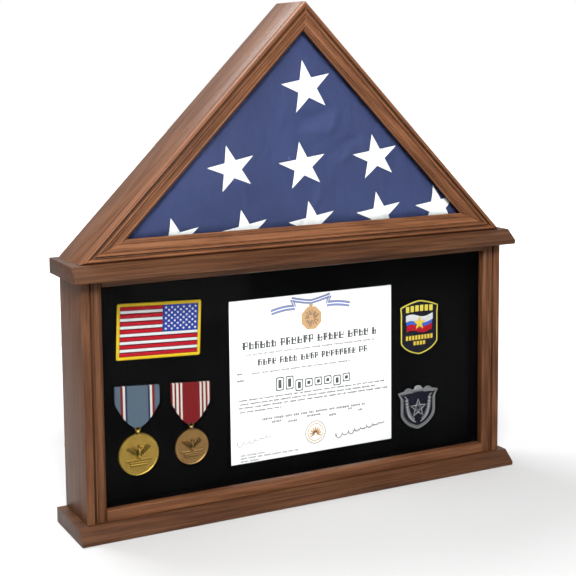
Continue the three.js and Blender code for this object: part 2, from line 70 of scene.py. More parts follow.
# ------------------------------------------------------------------ places taken from the frame
UNDERSIDE = CAD_BOX[0][2]
FRONT_OF_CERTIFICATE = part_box("certificate")[0].y
SLOPE_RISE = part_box("slope_board_left")[1].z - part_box("slope_board_left")[0].z
SLOPE_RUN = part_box("slope_board_left")[1].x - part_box("slope_board_left")[0].x
SLOPE = math.atan2(SLOPE_RISE, SLOPE_RUN)


def middle_of(node):
    low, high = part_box(node)
    return (low + high) / 2


# ------------------------------------------------------------------ settings
def length(name, description, default, highest=1.0):
    return bpy.props.FloatProperty(
        name=name, description=description, default=default, min=0.0, max=highest,
        subtype="DISTANCE", unit="LENGTH", precision=4,
    )


def colour(name, description, default):
    return bpy.props.FloatVectorProperty(
        name=name, description=description, default=default, min=0.0, max=1.0,
        size=3, subtype="COLOR",
    )


class FlagCaseSizes(bpy.types.PropertyGroup):
    """Sizes of the finish and of the small pieces."""

    board_edge: length("Board edge", "Width of the eased edge on the boards", 0.9 * MM)
    moulding_edge: length("Moulding edge", "Width of the eased edge on the mouldings", 0.35 * MM)
    metal_edge: length("Metal edge", "Width of the eased edge on the brass pieces", 0.3 * MM)
    cloth_grid: length("Cloth grid", "Size of one square of the cloth before it is blown up", 4.2 * MM)
    cloth_swell: length("Cloth swell", "Furthest that the folded flag swells", 4.0 * MM)
    star_seam: length("Star seam", "Width of the stitched seam around a star", 1.5 * MM)
    border: length("Patch border", "Width of the overlocked border of the flag patch", 4.6 * MM)
    bead: length("Medal bead", "Radius of one bead on the rim of a medal", 0.55 * MM)
    relief_grid: length("Relief grid", "Size of one facet on the struck medals", 0.42 * MM)


class FlagCaseColours(bpy.types.PropertyGroup):
    """Colours of the finishes."""

    walnut_dark: colour("Walnut dark", "Late wood and pores", (0.058, 0.021, 0.009))
    walnut_middle: colour("Walnut middle", "Body of the stained wood", (0.140, 0.055, 0.024))
    walnut_light: colour("Walnut light", "Light streaks of the wood", (0.240, 0.104, 0.048))
    panel: colour("Back panel", "Stained plywood of the back panels", (0.105, 0.060, 0.034))
    flag_blue: colour("Flag blue", "Cotton of the folded flag", (0.022, 0.031, 0.090))
    star_white: colour("Star white", "Appliqued stars", (0.72, 0.73, 0.74))
    felt: colour("Felt", "Black felt lining", (0.0016, 0.0016, 0.0018))
    paper: colour("Paper", "Certificate paper", (0.93, 0.93, 0.94))
    ink: colour("Ink", "Print on the certificate", (0.012, 0.012, 0.014))
    brass: colour("Brass", "Turn buttons and screws", (0.62, 0.43, 0.17))
    medal_gold: colour("Medal gold", "Left medal", (0.33, 0.215, 0.045))
    medal_bronze: colour("Medal bronze", "Right medal", (0.24, 0.140, 0.050))
    thread_yellow: colour("Yellow thread", "Borders of the patches", (0.56, 0.38, 0.012))
    thread_red: colour("Red thread", "Stripes of the flag patch", (0.33, 0.002, 0.011))
    thread_white: colour("White thread", "Stripes and dots of the flag patch", (0.54, 0.54, 0.56))
    thread_blue: colour("Blue thread", "Canton of the flag patch", (0.012, 0.036, 0.27))
    thread_silver: colour("Silver thread", "Embroidered badge", (0.17, 0.17, 0.18))


def sizes():
    return bpy.context.scene.flag_case_sizes


def colours():
    return bpy.context.scene.flag_case_colours


# ------------------------------------------------------------------ modelling helpers
def object_mode():
    if bpy.context.mode != "OBJECT":
        bpy.ops.object.mode_set(mode="OBJECT")


def only(*pieces):
    """Selects these pieces alone; the last of them is the active one."""
    object_mode()
    bpy.ops.object.select_all(action="DESELECT")
    for piece in pieces:
        piece.select_set(True)
    bpy.context.view_layer.objects.active = pieces[-1]


def select_everything():
    bpy.ops.mesh.select_all(action="SELECT")


def editing(piece):
    """Opens one piece in edit mode, with everything selected."""
    only(piece)
    bpy.ops.object.mode_set(mode="EDIT")
    select_everything()


def new_primitive(add, name, **settings):
    """Adds a primitive with nothing else selected, and names it."""
    object_mode()
    bpy.ops.object.select_all(action="DESELECT")
    add(**settings)
    piece = bpy.context.active_object
    piece.name = piece.data.name = name
    return piece


def choose(kind, test):
    """In edit mode, selects just the vertices, edges or faces that pass the test."""
    bpy.ops.mesh.select_mode(type=kind)
    bpy.ops.mesh.select_all(action="DESELECT")
    data = bpy.context.edit_object.data
    mesh = bmesh.from_edit_mesh(data)
    found = {"VERT": mesh.verts, "EDGE": mesh.edges, "FACE": mesh.faces}[kind]
    for element in found:
        if test(element):
            element.select_set(True)
    mesh.select_flush_mode()
    bmesh.update_edit_mesh(data)


def remove(piece):
    only(piece)
    bpy.ops.object.delete()


def apply_place(piece):
    only(piece)
    bpy.ops.object.transform_apply(location=True, rotation=True, scale=True)


def apply_modifier(piece, kind, **settings):
    """Adds a modifier with its settings and applies it."""
    only(piece)
    bpy.ops.object.modifier_add(type=kind)
    modifier = piece.modifiers[-1]
    for name, value in settings.items():
        setattr(modifier, name, value)
    bpy.ops.object.modifier_apply(modifier=modifier.name)


def ease_edges(piece, width, segments=2, angle=math.radians(30)):
    apply_modifier(
        piece, "BEVEL", width=width, segments=segments, limit_method="ANGLE",
        angle_limit=angle, use_clamp_overlap=True, miter_outer="MITER_ARC",
    )


def recalculate(piece):
    editing(piece)
    bpy.ops.mesh.normals_make_consistent(inside=False)
    object_mode()


def joined(name, pieces):
    """Joins pieces into one, which keeps the material of each."""
    only(*pieces)
    bpy.ops.object.join()
    piece = bpy.context.active_object
    piece.name = piece.data.name = name
    return piece


def merged_copy(node, name):
    """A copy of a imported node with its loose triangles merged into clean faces."""
    source = bpy.data.objects[node]
    piece = bpy.data.objects.new(name, source.data.copy())
    piece.data.name = name
    piece.data.materials.clear()
    bpy.context.collection.objects.link(piece)
    editing(piece)
    bpy.ops.mesh.customdata_custom_splitnormals_clear()
    bpy.ops.mesh.remove_doubles(threshold=0.01 * MM)
    bpy.ops.mesh.dissolve_limited(angle_limit=math.radians(0.8))
    object_mode()
    return piece


def finished(piece, body, material, replaces=(), smooth=math.radians(35)):
    """Gives a piece its material, shading and body."""
    apply_place(piece)
    if material:
        piece.data.materials.clear()
        piece.data.materials.append(material)
    bpy.ops.object.shade_smooth_by_angle(angle=smooth)
    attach(piece, body)
    if replaces:
        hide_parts(*replaces)
    return piece


def flat_shape(name, outline, front, back):
    """A plate between two depths with this outline of (x, z) points, counterclockwise from the front."""
    piece = new_primitive(
        bpy.ops.mesh.primitive_circle_add, name,
        vertices=len(outline), radius=1, fill_type="NGON", rotation=(math.pi / 2, 0, 0),
    )
    apply_place(piece)
    for vertex, (x, z) in zip(piece.data.vertices, outline):
        vertex.co = (x, back, z)
    editing(piece)
    bpy.ops.mesh.extrude_region_move(TRANSFORM_OT_translate={"value": (0, front - back, 0)})
    select_everything()
    bpy.ops.mesh.normals_make_consistent(inside=False)
    object_mode()
    return piece


def painted(piece, material):
    piece.data.materials.append(material)
    return piece


def cord_of(name, points, radius, closed=False, sides=3):
    """A round thread or wire along these points, as a mesh."""
    curve = bpy.data.curves.new(name, "CURVE")
    curve.dimensions = "3D"
    curve.bevel_depth = radius
    curve.bevel_resolution = sides
    curve.use_fill_caps = not closed
    line = curve.splines.new("POLY")
    line.points.add(len(points) - 1)
    for point, place in zip(line.points, points):
        point.co = (*place, 1)
    line.use_cyclic_u = closed
    piece = bpy.data.objects.new(name, curve)
    bpy.context.collection.objects.link(piece)
    only(piece)
    bpy.ops.object.convert(target="MESH")
    piece = bpy.context.active_object
    piece.name = piece.data.name = name
    recalculate(piece)
    return piece


def arc(centre, radius, start, end, steps, squash=1.0):
    """Points on a circle or an ellipse, from one angle to another."""
    return [
        (
            centre[0] + radius * math.cos(start + (end - start) * i / steps),
            centre[1] + squash * radius * math.sin(start + (end - start) * i / steps),
        )
        for i in range(steps + 1)
    ]


def bend(start, handle, end, steps):
    """Points on a quadratic curve, without its first one."""
    found = []
    for i in range(1, steps + 1):
        t = i / steps
        found.append(tuple(
            (1 - t) ** 2 * a + 2 * t * (1 - t) * h + t * t * b for a, h, b in zip(start, handle, end)
        ))
    return found


def star_outline(centre, radius, turn, waist=0.382):
    """The ten corners of a five-pointed star, its first point up and turned to the left."""
    found = []
    for i in range(10):
        reach = radius if i % 2 == 0 else radius * waist
        angle = math.pi / 2 + turn + i * math.pi / 5
        found.append((centre[0] + reach * math.cos(angle), centre[1] + reach * math.sin(angle)))
    return found


# ------------------------------------------------------------------ shader helpers
class Shades:
    """Adds nodes to one node tree and links them."""

    def __init__(self, tree):
        self.tree = tree

    def add(self, kind, inputs=None, **settings):
        node = self.tree.nodes.new(kind)
        for name, value in settings.items():
            setattr(node, name, value)
        for socket, value in (inputs or {}).items():
            if isinstance(value, bpy.types.NodeSocket):
                self.tree.links.new(value, node.inputs[socket])
            else:
                node.inputs[socket].default_value = value
        return node

    def math(self, operation, a, b=0.0, clamp=False):
        return self.add("ShaderNodeMath", {0: a, 1: b}, operation=operation, use_clamp=clamp).outputs[0]

    def times(self, value, factor):
        return self.math("MULTIPLY", value, factor)

    def mix(self, factor, a, b, blend="MIX"):
        node = self.add(
            "ShaderNodeMix", {0: factor, 6: rgba(a), 7: rgba(b)}, data_type="RGBA", blend_type=blend
        )
        return node.outputs[2]

    def noise(self, vector, scale, detail=2.0, rough=0.5, warp=0.0):
        return self.add(
            "ShaderNodeTexNoise",
            {"Vector": vector, "Scale": scale, "Detail": detail, "Roughness": rough, "Distortion": warp},
        ).outputs["Fac"]

    def range(self, value, low, high, to_low=0.0, to_high=1.0):
        return self.add(
            "ShaderNodeMapRange", {0: value, 1: low, 2: high, 3: to_low, 4: to_high}
        ).outputs[0]

    def wave(self, vector, scale, warp=0.0, direction="X", detail_scale=1.0):
        return self.add(
            "ShaderNodeTexWave",
            {"Vector": vector, "Scale": scale, "Distortion": warp, "Detail Scale": detail_scale},
            wave_type="BANDS", bands_direction=direction,
        ).outputs["Fac"]

    def ramp(self, factor, stops, sharp=False):
        node = self.add("ShaderNodeValToRGB", {0: factor})
        node.color_ramp.interpolation = "CONSTANT" if sharp else "LINEAR"
        elements = node.color_ramp.elements
        while len(elements) < len(stops):
            elements.new(0.5)
        for element, (place, shade) in zip(elements, stops):
            element.position = place
            element.color = rgba(shade)
        return node.outputs[0]

    def scaled(self, vector, factors):
        return self.add(
            "ShaderNodeVectorMath", {0: vector, 1: factors}, operation="MULTIPLY"
        ).outputs[0]

    def bump(self, height, distance, strength=1.0, over=None):
        """Relief of this height, laid over a coarser relief if there is one."""
        inputs = {"Height": height, "Distance": distance, "Strength": strength}
        if over:
            inputs["Normal"] = over
        return self.add("ShaderNodeBump", inputs).outputs[0]

    def place(self, centre=(0, 0, 0), turn=0.0):
        """The piece's own coordinates, measured from a centre and turned to the left."""
        coordinates = self.add("ShaderNodeTexCoord").outputs["Object"]
        return self.add(
            "ShaderNodeMapping",
            {"Vector": coordinates, "Location": centre, "Rotation": (0, -turn, 0)},
            vector_type="TEXTURE",
        ).outputs[0]

    def dot(self, a, b):
        return self.add(
            "ShaderNodeVectorMath", {0: a, 1: b}, operation="DOT_PRODUCT"
        ).outputs["Value"]

    def split(self, vector):
        return self.add("ShaderNodeSeparateXYZ", {0: vector}).outputs

    def effect(self, group, **inputs):
        node = self.add("ShaderNodeGroup", node_tree=group)
        for name, value in inputs.items():
            socket = node.inputs[name.replace("_", " ").capitalize()]
            if isinstance(value, bpy.types.NodeSocket):
                self.tree.links.new(value, socket)
            elif socket.type == "RGBA":
                socket.default_value = rgba(value)
            else:
                socket.default_value = value
        return node.outputs


def rgba(shade):
    if isinstance(shade, bpy.types.NodeSocket) or len(shade) == 4:
        return shade
    return (*shade, 1.0)


def dyed(shade, factor):
    """A colour made darker or lighter."""
    return tuple(min(1.0, part * factor) for part in shade)


def effect_once(inputs, outputs):
    """A shader node group with inputs (name, kind, default) and outputs (name, kind), built once."""
    def wrap(build):
        def get():
            name = build.__name__
            group = bpy.data.node_groups.get(name)
            if group:
                return group
            group = bpy.data.node_groups.new(name, "ShaderNodeTree")
            for label, kind, default in inputs:
                socket = group.interface.new_socket(label, in_out="INPUT", socket_type=kind)
                if default is not None:
                    socket.default_value = default
            for label, kind in outputs:
                group.interface.new_socket(label, in_out="OUTPUT", socket_type=kind)
            shades = Shades(group)
            given = shades.add("NodeGroupInput").outputs
            shades.add("NodeGroupOutput", build(shades, given))
            return group
        return get
    return wrap


FLOAT, VECTOR, COLOUR = "NodeSocketFloat", "NodeSocketVector", "NodeSocketColor"


def stretched(s, vector, along, scale, detail, rough, warp=0.0):
    """Noise drawn out along X; the smaller the share, the longer its streaks."""
    return s.noise(s.scaled(vector, (along, 1, 1)), scale, detail, rough, warp)


@effect_once(
    [("Vector", VECTOR, None), ("Dark", COLOUR, None), ("Middle", COLOUR, None), ("Light", COLOUR, None)],
    [("Colour", COLOUR), ("Height", FLOAT), ("Roughness", FLOAT)],
)
def wood_figure(s, given):
    """Grain along X: rings cut lengthwise, fine streaks and short open pores."""
    vector = given["Vector"]
    slow = stretched(s, vector, 0.055, 15, 2.0, 0.5, 0.35)
    rings = s.math("MULTIPLY_ADD", s.math("SINE", s.times(slow, 120)), 0.5)
    rings.node.inputs[2].default_value = 0.5
    streaks = stretched(s, vector, 0.025, 520, 4.0, 0.65)
    fine = stretched(s, vector, 0.018, 1050, 2.0, 0.6)
    cloud = stretched(s, vector, 0.35, 9, 2.0, 0.5)
    pores = s.range(stretched(s, vector, 0.016, 1500, 1.0, 0.5), 0.60, 0.70)
    tone = s.math("ADD", s.times(rings, 0.13), s.times(streaks, 0.42))
    tone = s.math("ADD", tone, s.times(fine, 0.36))
    tone = s.math("ADD", tone, s.times(cloud, 0.22))
    tone = s.range(tone, 0.36, 0.82)
    shade = s.mix(s.range(tone, 0.0, 0.5), given["Dark"], given["Middle"])
    shade = s.mix(s.range(tone, 0.45, 1.0), shade, given["Light"])
    gloss = s.math("MULTIPLY_ADD", pores, 0.18)
    gloss.node.inputs[2].default_value = 0.36
    return {
        "Colour": s.mix(s.times(pores, 0.55), shade, given["Dark"]),
        "Height": s.math("SUBTRACT", s.times(fine, 0.4), pores),
        "Roughness": s.math("ADD", gloss, s.times(cloud, 0.10)),
    }


@effect_once(
    [("Edge", FLOAT, 1.2 * MM), ("Hollow", FLOAT, 5 * MM)],
    [("Wear", FLOAT), ("Recess", FLOAT)],
)
def edge_and_hollow_masks(s, given):
    """Two masks: the edges, which the materials lighten as wear and as a painted highlight, and the hollows
    found by occlusion, which they darken as staining and painted shade on the walnut, tarnish on the metal
    and painted shade on the thread.
    """
    round_normal = s.add("ShaderNodeBevel", {"Radius": given["Edge"]}, samples=4).outputs[0]
    normal = s.add("ShaderNodeNewGeometry").outputs["Normal"]
    along = s.dot(round_normal, normal)
    patchy = s.noise(s.add("ShaderNodeTexCoord").outputs["Object"], 70, 3.0, 0.6)
    open_sky = s.add(
        "ShaderNodeAmbientOcclusion", {"Distance": given["Hollow"]}, samples=6, only_local=True
    ).outputs["AO"]
    return {
        # the edge mask carries wear and a painted highlight; the hollow mask carries staining, tarnish and
        # painted shade
        "Wear": s.times(s.range(along, 0.99, 0.86), s.range(patchy, 0.35, 0.62)),
        "Recess": s.range(open_sky, 0.97, 0.60),
    }


@effect_once([("Vector", VECTOR, None)], [("Height", FLOAT), ("Lint", FLOAT)])
def fibres(s, given):
    """Short tangled fibres and stray lint, for felt and brushed cloth."""
    return {
        "Height": s.noise(given["Vector"], 900, 4.0, 0.7, 1.4),
        "Lint": s.range(s.noise(given["Vector"], 420, 1.0, 0.5, 2.5), 0.74, 0.80),
    }


@effect_once(
    [("Vector", VECTOR, None), ("Threads", FLOAT, 900.0)], [("Height", FLOAT), ("Slub", FLOAT)]
)
def plain_weave(s, given):
    """Warp and weft threads that cross on the front of a cloth."""
    warp = s.wave(given["Vector"], given["Threads"], 0.25, "X")
    weft = s.wave(given["Vector"], given["Threads"], 0.25, "Z")
    across = s.noise(s.scaled(given["Vector"], (0.03, 1, 1)), 520, 2.0, 0.6)
    down = s.noise(s.scaled(given["Vector"], (1, 1, 0.03)), 520, 2.0, 0.6)
    return {
        "Height": s.math("ADD", warp, weft),
        "Slub": s.times(s.math("ADD", across, down), 0.5),
    }


@effect_once(
    [("Vector", VECTOR, None), ("Threads", FLOAT, 420.0)], [("Height", FLOAT), ("Shade", FLOAT)]
)
def satin_stitch(s, given):
    """Threads that lie side by side along Z, with a painted sheen that breaks from thread to thread: a
    value that lightens some threads and darkens others.
    """
    threads = s.wave(given["Vector"], given["Threads"], 0.6, "X", 3.0)
    broken = s.noise(s.scaled(given["Vector"], (1, 1, 0.15)), 1300, 2.0, 0.6)
    shade = s.math("ADD", s.times(threads, 0.35), s.times(broken, 0.9))
    return {
        "Height": s.math("ADD", threads, s.times(broken, 0.35)),
        "Shade": s.range(shade, 0.2, 0.95, 0.62, 1.18),
    }


# ------------------------------------------------------------------ materials
def material_once(build):
    """Builds a material the first time that its name is asked for."""
    def get(name, *settings, **more):
        found = bpy.data.materials.get(name)
        if found:
            return found
        material = bpy.data.materials.new(name)
        material.use_nodes = True
        shades = Shades(material.node_tree)
        inputs = material.node_tree.nodes["Principled BSDF"].inputs
        for socket, value in build(shades, *settings, **more).items():
            if isinstance(value, bpy.types.NodeSocket):
                material.node_tree.links.new(value, inputs[socket])
            else:
                inputs[socket].default_value = rgba(value) if socket.endswith("Color") else value
        return material
    return get


def tinted(s, shade, factor):
    """A colour multiplied by a value that changes over the surface."""
    grey = s.add("ShaderNodeCombineColor", {0: factor, 1: factor, 2: factor}).outputs[0]
    return s.mix(1.0, shade, grey, blend="MULTIPLY")


@material_once
def walnut(s, turn=0.0, shift=0.0, tone=1.0):
    """Stained walnut whose grain runs across the case, turned to the left by an angle."""
    own = colours()
    vector = s.place((shift, shift * 0.37, shift * 0.61), turn)
    wood = s.effect(
        wood_figure(), vector=vector, dark=dyed(own.walnut_dark, tone),
        middle=dyed(own.walnut_middle, tone), light=dyed(own.walnut_light, tone),
    )
    marks = s.effect(edge_and_hollow_masks(), edge=1.0 * MM, hollow=6 * MM)
    # painted shade: the grooves are darkened towards dark walnut, partly as gathered staining and partly as
    # shade
    shade = s.mix(s.times(marks["Recess"], 0.85), wood["Colour"], dyed(own.walnut_dark, 0.22))
    # painted highlight: the edges and beads are lightened, partly as wear and partly as a highlight
    shade = s.mix(s.times(marks["Wear"], 0.60), shade, dyed(own.walnut_light, 1.5 * tone))
    return {
        "Base Color": shade,
        "Roughness": wood["Roughness"],
        "Normal": s.bump(wood["Height"], 0.10 * MM, 0.45),
        "Specular IOR Level": 0.13,
        "Coat Weight": 0.03,
        "Coat Roughness": 0.30,
    }


@material_once
def plywood(s):
    own = colours()
    vector = s.place()
    wood = s.effect(
        wood_figure(), vector=vector, dark=dyed(own.panel, 0.45), middle=own.panel,
        light=dyed(own.panel, 1.7),
    )
    depth = s.split(vector)[1]
    plies = s.range(s.math("SINE", s.times(depth, 5200)), -0.2, 0.2)
    normal = s.split(s.add("ShaderNodeNewGeometry").outputs["Normal"])[1]
    is_edge = s.range(s.math("ABSOLUTE", normal), 0.6, 0.5)
    layers = s.mix(plies, dyed(own.panel, 0.5), dyed(own.panel, 2.6))
    return {
        "Base Color": s.mix(is_edge, wood["Colour"], layers),
        "Roughness": s.math("ADD", wood["Roughness"], 0.25),
        "Normal": s.bump(wood["Height"], 0.15 * MM, 0.8),
    }


@material_once
def felt(s):
    own = colours()
    vector = s.place()
    fuzz = s.effect(fibres(), vector=vector)
    cloud = s.noise(vector, 14, 2.0)
    shade = tinted(s, own.felt, s.range(cloud, 0.3, 0.7, 0.7, 1.35))
    shade = s.mix(s.times(fuzz["Lint"], 0.35), shade, (0.014, 0.014, 0.016))
    return {
        "Base Color": shade,
        "Roughness": s.range(fuzz["Height"], 0.3, 0.7, 0.9, 1.0),
        "Normal": s.bump(fuzz["Height"], 0.35 * MM, 0.9),
        "Specular IOR Level": 0.0,
    }


@material_once
def foam(s):
    vector = s.place()
    cells = s.add("ShaderNodeTexVoronoi", {"Vector": vector, "Scale": 620}).outputs["Distance"]
    shade = s.mix(s.range(cells, 0.1, 0.6), (0.50, 0.45, 0.36), (0.66, 0.61, 0.50))
    return {
        "Base Color": shade,
        "Roughness": s.range(cells, 0.0, 0.6, 0.95, 0.8),
        "Normal": s.bump(cells, 0.3 * MM, 0.8),
    }


@material_once
def metal(s, shade, tarnish, rough=0.32, hollow=2.0):
    """Cast or struck metal, darker with tarnish in its hollows, and lighter on its high places and edges,
    partly as polish and partly as a painted highlight.
    """
    vector = s.place()
    marks = s.effect(edge_and_hollow_masks(), edge=0.55 * MM, hollow=hollow * MM)
    smudge = s.noise(vector, 160, 3.0, 0.6, 0.4)
    pitting = s.times(s.noise(vector, 950, 2.0, 0.7), 2.2)
    grain = s.math("ADD", s.noise(vector, 2600, 2.0, 0.6), pitting)
    worn = s.mix(s.range(smudge, 0.35, 0.7), dyed(shade, 0.82), shade)
    worn = s.mix(s.times(marks["Recess"], 0.80), worn, tarnish)
    # painted highlight: the edges are lightened, partly as polish and partly as a highlight
    worn = s.mix(s.times(marks["Wear"], 0.55), worn, dyed(shade, 1.5))
    dull = s.range(smudge, 0.3, 0.75, rough, rough + 0.16)
    return {
        "Base Color": worn,
        "Metallic": 1.0,
        "Roughness": s.math("ADD", dull, s.times(marks["Recess"], 0.18)),
        "Normal": s.bump(grain, 0.09 * MM, 0.6),
    }


@material_once
def flag_cotton(s):
    """Closely woven navy cotton with soft creases, a little faded on the high places."""
    own = colours()
    vector = s.place()
    cloth = s.effect(plain_weave(), vector=vector, threads=760.0)
    cloud = s.noise(vector, 7, 2.0, 0.5, 0.6)
    shade = tinted(s, own.flag_blue, s.range(cloth["Slub"], 0.35, 0.65, 0.90, 1.10))
    shade = tinted(s, shade, s.range(cloud, 0.3, 0.7, 0.88, 1.12))
    ripple = s.noise(s.scaled(vector, (1, 1, 0.45)), 34, 3.0, 0.5, 0.8)
    soft = s.bump(ripple, 3.0 * MM, 0.8)
    return {
        "Base Color": shade,
        "Roughness": s.range(cloth["Slub"], 0.3, 0.7, 0.62, 0.78),
        "Normal": s.bump(cloth["Height"], 0.05 * MM, 0.5, over=soft),
        "Specular IOR Level": 0.2,
        "Sheen Weight": 0.10,
        "Sheen Roughness": 0.45,
        "Sheen Tint": (0.55, 0.62, 1.0, 1.0),
    }


@material_once
def star_cotton(s):
    own = colours()
    vector = s.place()
    cloth = s.effect(plain_weave(), vector=vector, threads=640.0)
    crease = s.noise(s.scaled(vector, (1, 1, 0.6)), 60, 3.0, 0.55, 1.2)
    # painted shade: the stars are darker in the low places of the crease relief
    shade = tinted(s, own.star_white, s.range(crease, 0.30, 0.48, 0.80, 1.0))
    height = s.math("ADD", s.times(crease, 5.0), s.times(cloth["Height"], 0.35))
    return {
        "Base Color": tinted(s, shade, s.range(cloth["Slub"], 0.3, 0.7, 0.95, 1.02)),
        "Roughness": s.range(cloth["Slub"], 0.3, 0.7, 0.7, 0.85),
        "Normal": s.bump(height, 0.14 * MM, 0.8),
        "Sheen Weight": 0.15,
    }


@material_once
def thread(s, shade, centre=(0, 0, 0), turn=0.0, threads=420.0, metallic=0.0):
    """Embroidery thread laid side by side, across the angle given."""
    vector = s.place(centre, turn)
    stitch = s.effect(satin_stitch(), vector=vector, threads=threads)
    marks = s.effect(edge_and_hollow_masks(), edge=0.4 * MM, hollow=2.2 * MM)
    # painted sheen: each thread's colour is lightened and darkened by the satin sheen value
    laid = tinted(s, shade, stitch["Shade"])
    # painted shade: the thread is darkened in the hollows between stitches and pieces
    laid = s.mix(s.times(marks["Recess"], 0.75), laid, dyed(shade, 0.12))
    return {
        "Base Color": laid,
        "Metallic": metallic,
        "Roughness": s.range(stitch["Shade"], 0.6, 1.2, 0.66, 0.46),
        "Normal": s.bump(stitch["Height"], 0.16 * MM, 0.9),
        "Specular IOR Level": 0.12,
        "Sheen Weight": 0.03,
    }


@material_once
def twill(s, shade):
    """Dark ground cloth of the patches, woven on the slant."""
    vector = s.place((0, 0, 0), math.radians(38))
    slant = s.wave(vector, 620, 0.4, "X")
    fuzz = s.effect(fibres(), vector=vector)
    return {
        # painted shade: the slant of the weave lightens its ridges and darkens between them
        "Base Color": tinted(s, shade, s.range(slant, 0, 1, 0.6, 1.5)),
        "Roughness": s.range(fuzz["Height"], 0.3, 0.7, 0.85, 1.0),
        "Normal": s.bump(s.math("ADD", slant, fuzz["Height"]), 0.12 * MM, 0.8),
        "Specular IOR Level": 0.0,
    }


@material_once
def paper(s):
    own = colours()
    vector = s.place()
    pulp = s.noise(vector, 340, 5.0, 0.7, 0.5)
    cloud = s.noise(vector, 12, 2.0)
    shade = tinted(s, own.paper, s.range(cloud, 0.3, 0.7, 0.965, 1.0))
    return {
        "Base Color": tinted(s, shade, s.range(pulp, 0.3, 0.7, 0.985, 1.01)),
        "Roughness": s.range(pulp, 0.3, 0.7, 0.72, 0.86),
        "Normal": s.bump(pulp, 0.05 * MM, 0.6),
    }


@material_once
def printed(s, shade, spread=0.25):
    """Ink that takes a little unevenly on the paper."""
    vector = s.place()
    mottle = s.noise(vector, 900, 3.0, 0.6)
    return {
        "Base Color": s.mix(s.range(mottle, 0.35, 0.75, 0.0, spread), shade, colours().paper),
        "Roughness": s.range(mottle, 0.3, 0.7, 0.55, 0.75),
        "Normal": s.bump(mottle, 0.02 * MM, 0.4),
    }


@material_once
def ribbon_cloth(s, centre, turn, width, stripes):
    """Grosgrain with coloured stripes down its length; stripes are (share of the width, colour)."""
    vector = s.place(centre, turn)
    across = s.range(s.split(vector)[0], -width / 2, width / 2)
    shade = s.ramp(across, stripes, sharp=True)
    ribs = s.wave(vector, 330, 0.25, "Z")
    fine = s.wave(vector, 900, 0.4, "X")
    # painted shade: the ribs are lighter on their crests and darker between them
    shade = tinted(s, shade, s.range(ribs, 0, 1, 0.72, 1.12))
    speck = s.noise(vector, 1500, 2.0, 0.7)
    shade = tinted(s, shade, s.range(speck, 0.3, 0.7, 0.85, 1.15))
    return {
        "Base Color": shade,
        "Roughness": s.range(speck, 0.3, 0.7, 0.55, 0.75),
        "Normal": s.bump(s.math("ADD", ribs, s.times(fine, 0.3)), 0.14 * MM, 0.9),
        "Specular IOR Level": 0.15,
        "Sheen Weight": 0.04,
    }


@material_once
def clear_glass(s):
    """Thin anti-glare glass, which lets the lamps through to what stands behind it."""
    film = s.noise(s.place(), 5, 3.0, 0.6, 0.5)
    clear = s.add("ShaderNodeBsdfTransparent", {"Color": (0.97, 0.98, 0.975, 1)}).outputs[0]
    shadow = s.add("ShaderNodeLightPath").outputs["Is Shadow Ray"]
    diffuse = s.add("ShaderNodeLightPath").outputs["Is Diffuse Ray"]
    glass = s.tree.nodes["Principled BSDF"].outputs[0]
    mixed = s.add("ShaderNodeMixShader", {0: s.math("MAXIMUM", shadow, diffuse), 1: glass, 2: clear})
    s.tree.links.new(mixed.outputs[0], s.tree.nodes["Material Output"].inputs["Surface"])
    return {
        "Base Color": (0.985, 0.995, 0.99),
        "Roughness": s.range(film, 0.3, 0.8, 0.0, 0.012),
        "Transmission Weight": 1.0,
        "IOR": 1.08,
    }


# ------------------------------------------------------------------ joinery
# how dark each piece is made, 1 being the colours above: partly how it took the staining and partly painted
# shade set against how the lamps fall, which darkens the top rail under the cornice and the bevelled base
# and cornice boards, and makes the left-hand side boards, slopes and stiles darker than the right-hand ones
STAIN_AND_SHADE = {
    "base_board": 0.44, "cornice_board": 0.44, "side_board_left": 0.62, "side_board_right": 0.68,
    "slope_board_left": 0.74, "slope_board_right": 0.8, "stile_left": 0.60, "stile_right": 0.66,
    "top_rail": 0.64, "bottom_rail": 0.8, "face_moulding_left": 1.12, "face_moulding_right": 1.12,
    "face_moulding_bottom": 1.02,
}


UPRIGHT = math.pi / 2


def walnut_pieces(turns, width, first, step, **edge):
    """Finishes the nodes named, whose grain is turned by the angles given and starts at its own place."""
    for number, (node, turn) in enumerate(turns.items()):
        piece = merged_copy(node, f"walnut_{node}")
        ease_edges(piece, width, **edge)
        # the tone given to each walnut copy carries painted shade as well as staining
        stained_and_shaded = walnut(f"walnut_{node}", turn, step * (number + first), STAIN_AND_SHADE.get(node, 0.8))
        finished(piece, "case", stained_and_shaded, [node])


class BoardsOperator(bpy.types.Operator):
    """Base board, cornice board and the two side boards of the shadow box"""

    bl_idname = "flag_case.boards"
    bl_label = "Boards"

    def execute(self, context):
        turns = {
            "base_board": 0, "cornice_board": 0, "side_board_left": UPRIGHT, "side_board_right": UPRIGHT,
        }
        walnut_pieces(turns, sizes().board_edge, 1, 0.31, segments=3)
        return {"FINISHED"}


class SlopeBoardsOperator(bpy.types.Operator):
    """Slope boards, floor and glass stops of the triangular case"""

    bl_idname = "flag_case.slopes"
    bl_label = "Slope boards"

    def execute(self, context):
        turns = {
            "slope_board_left": SLOPE, "slope_board_right": -SLOPE, "flag_case_floor": 0,
            "glass_stop_left": SLOPE, "glass_stop_right": -SLOPE, "glass_stop_bottom": 0,
        }
        walnut_pieces(turns, sizes().moulding_edge * 1.6, 5, 0.23)
        return {"FINISHED"}


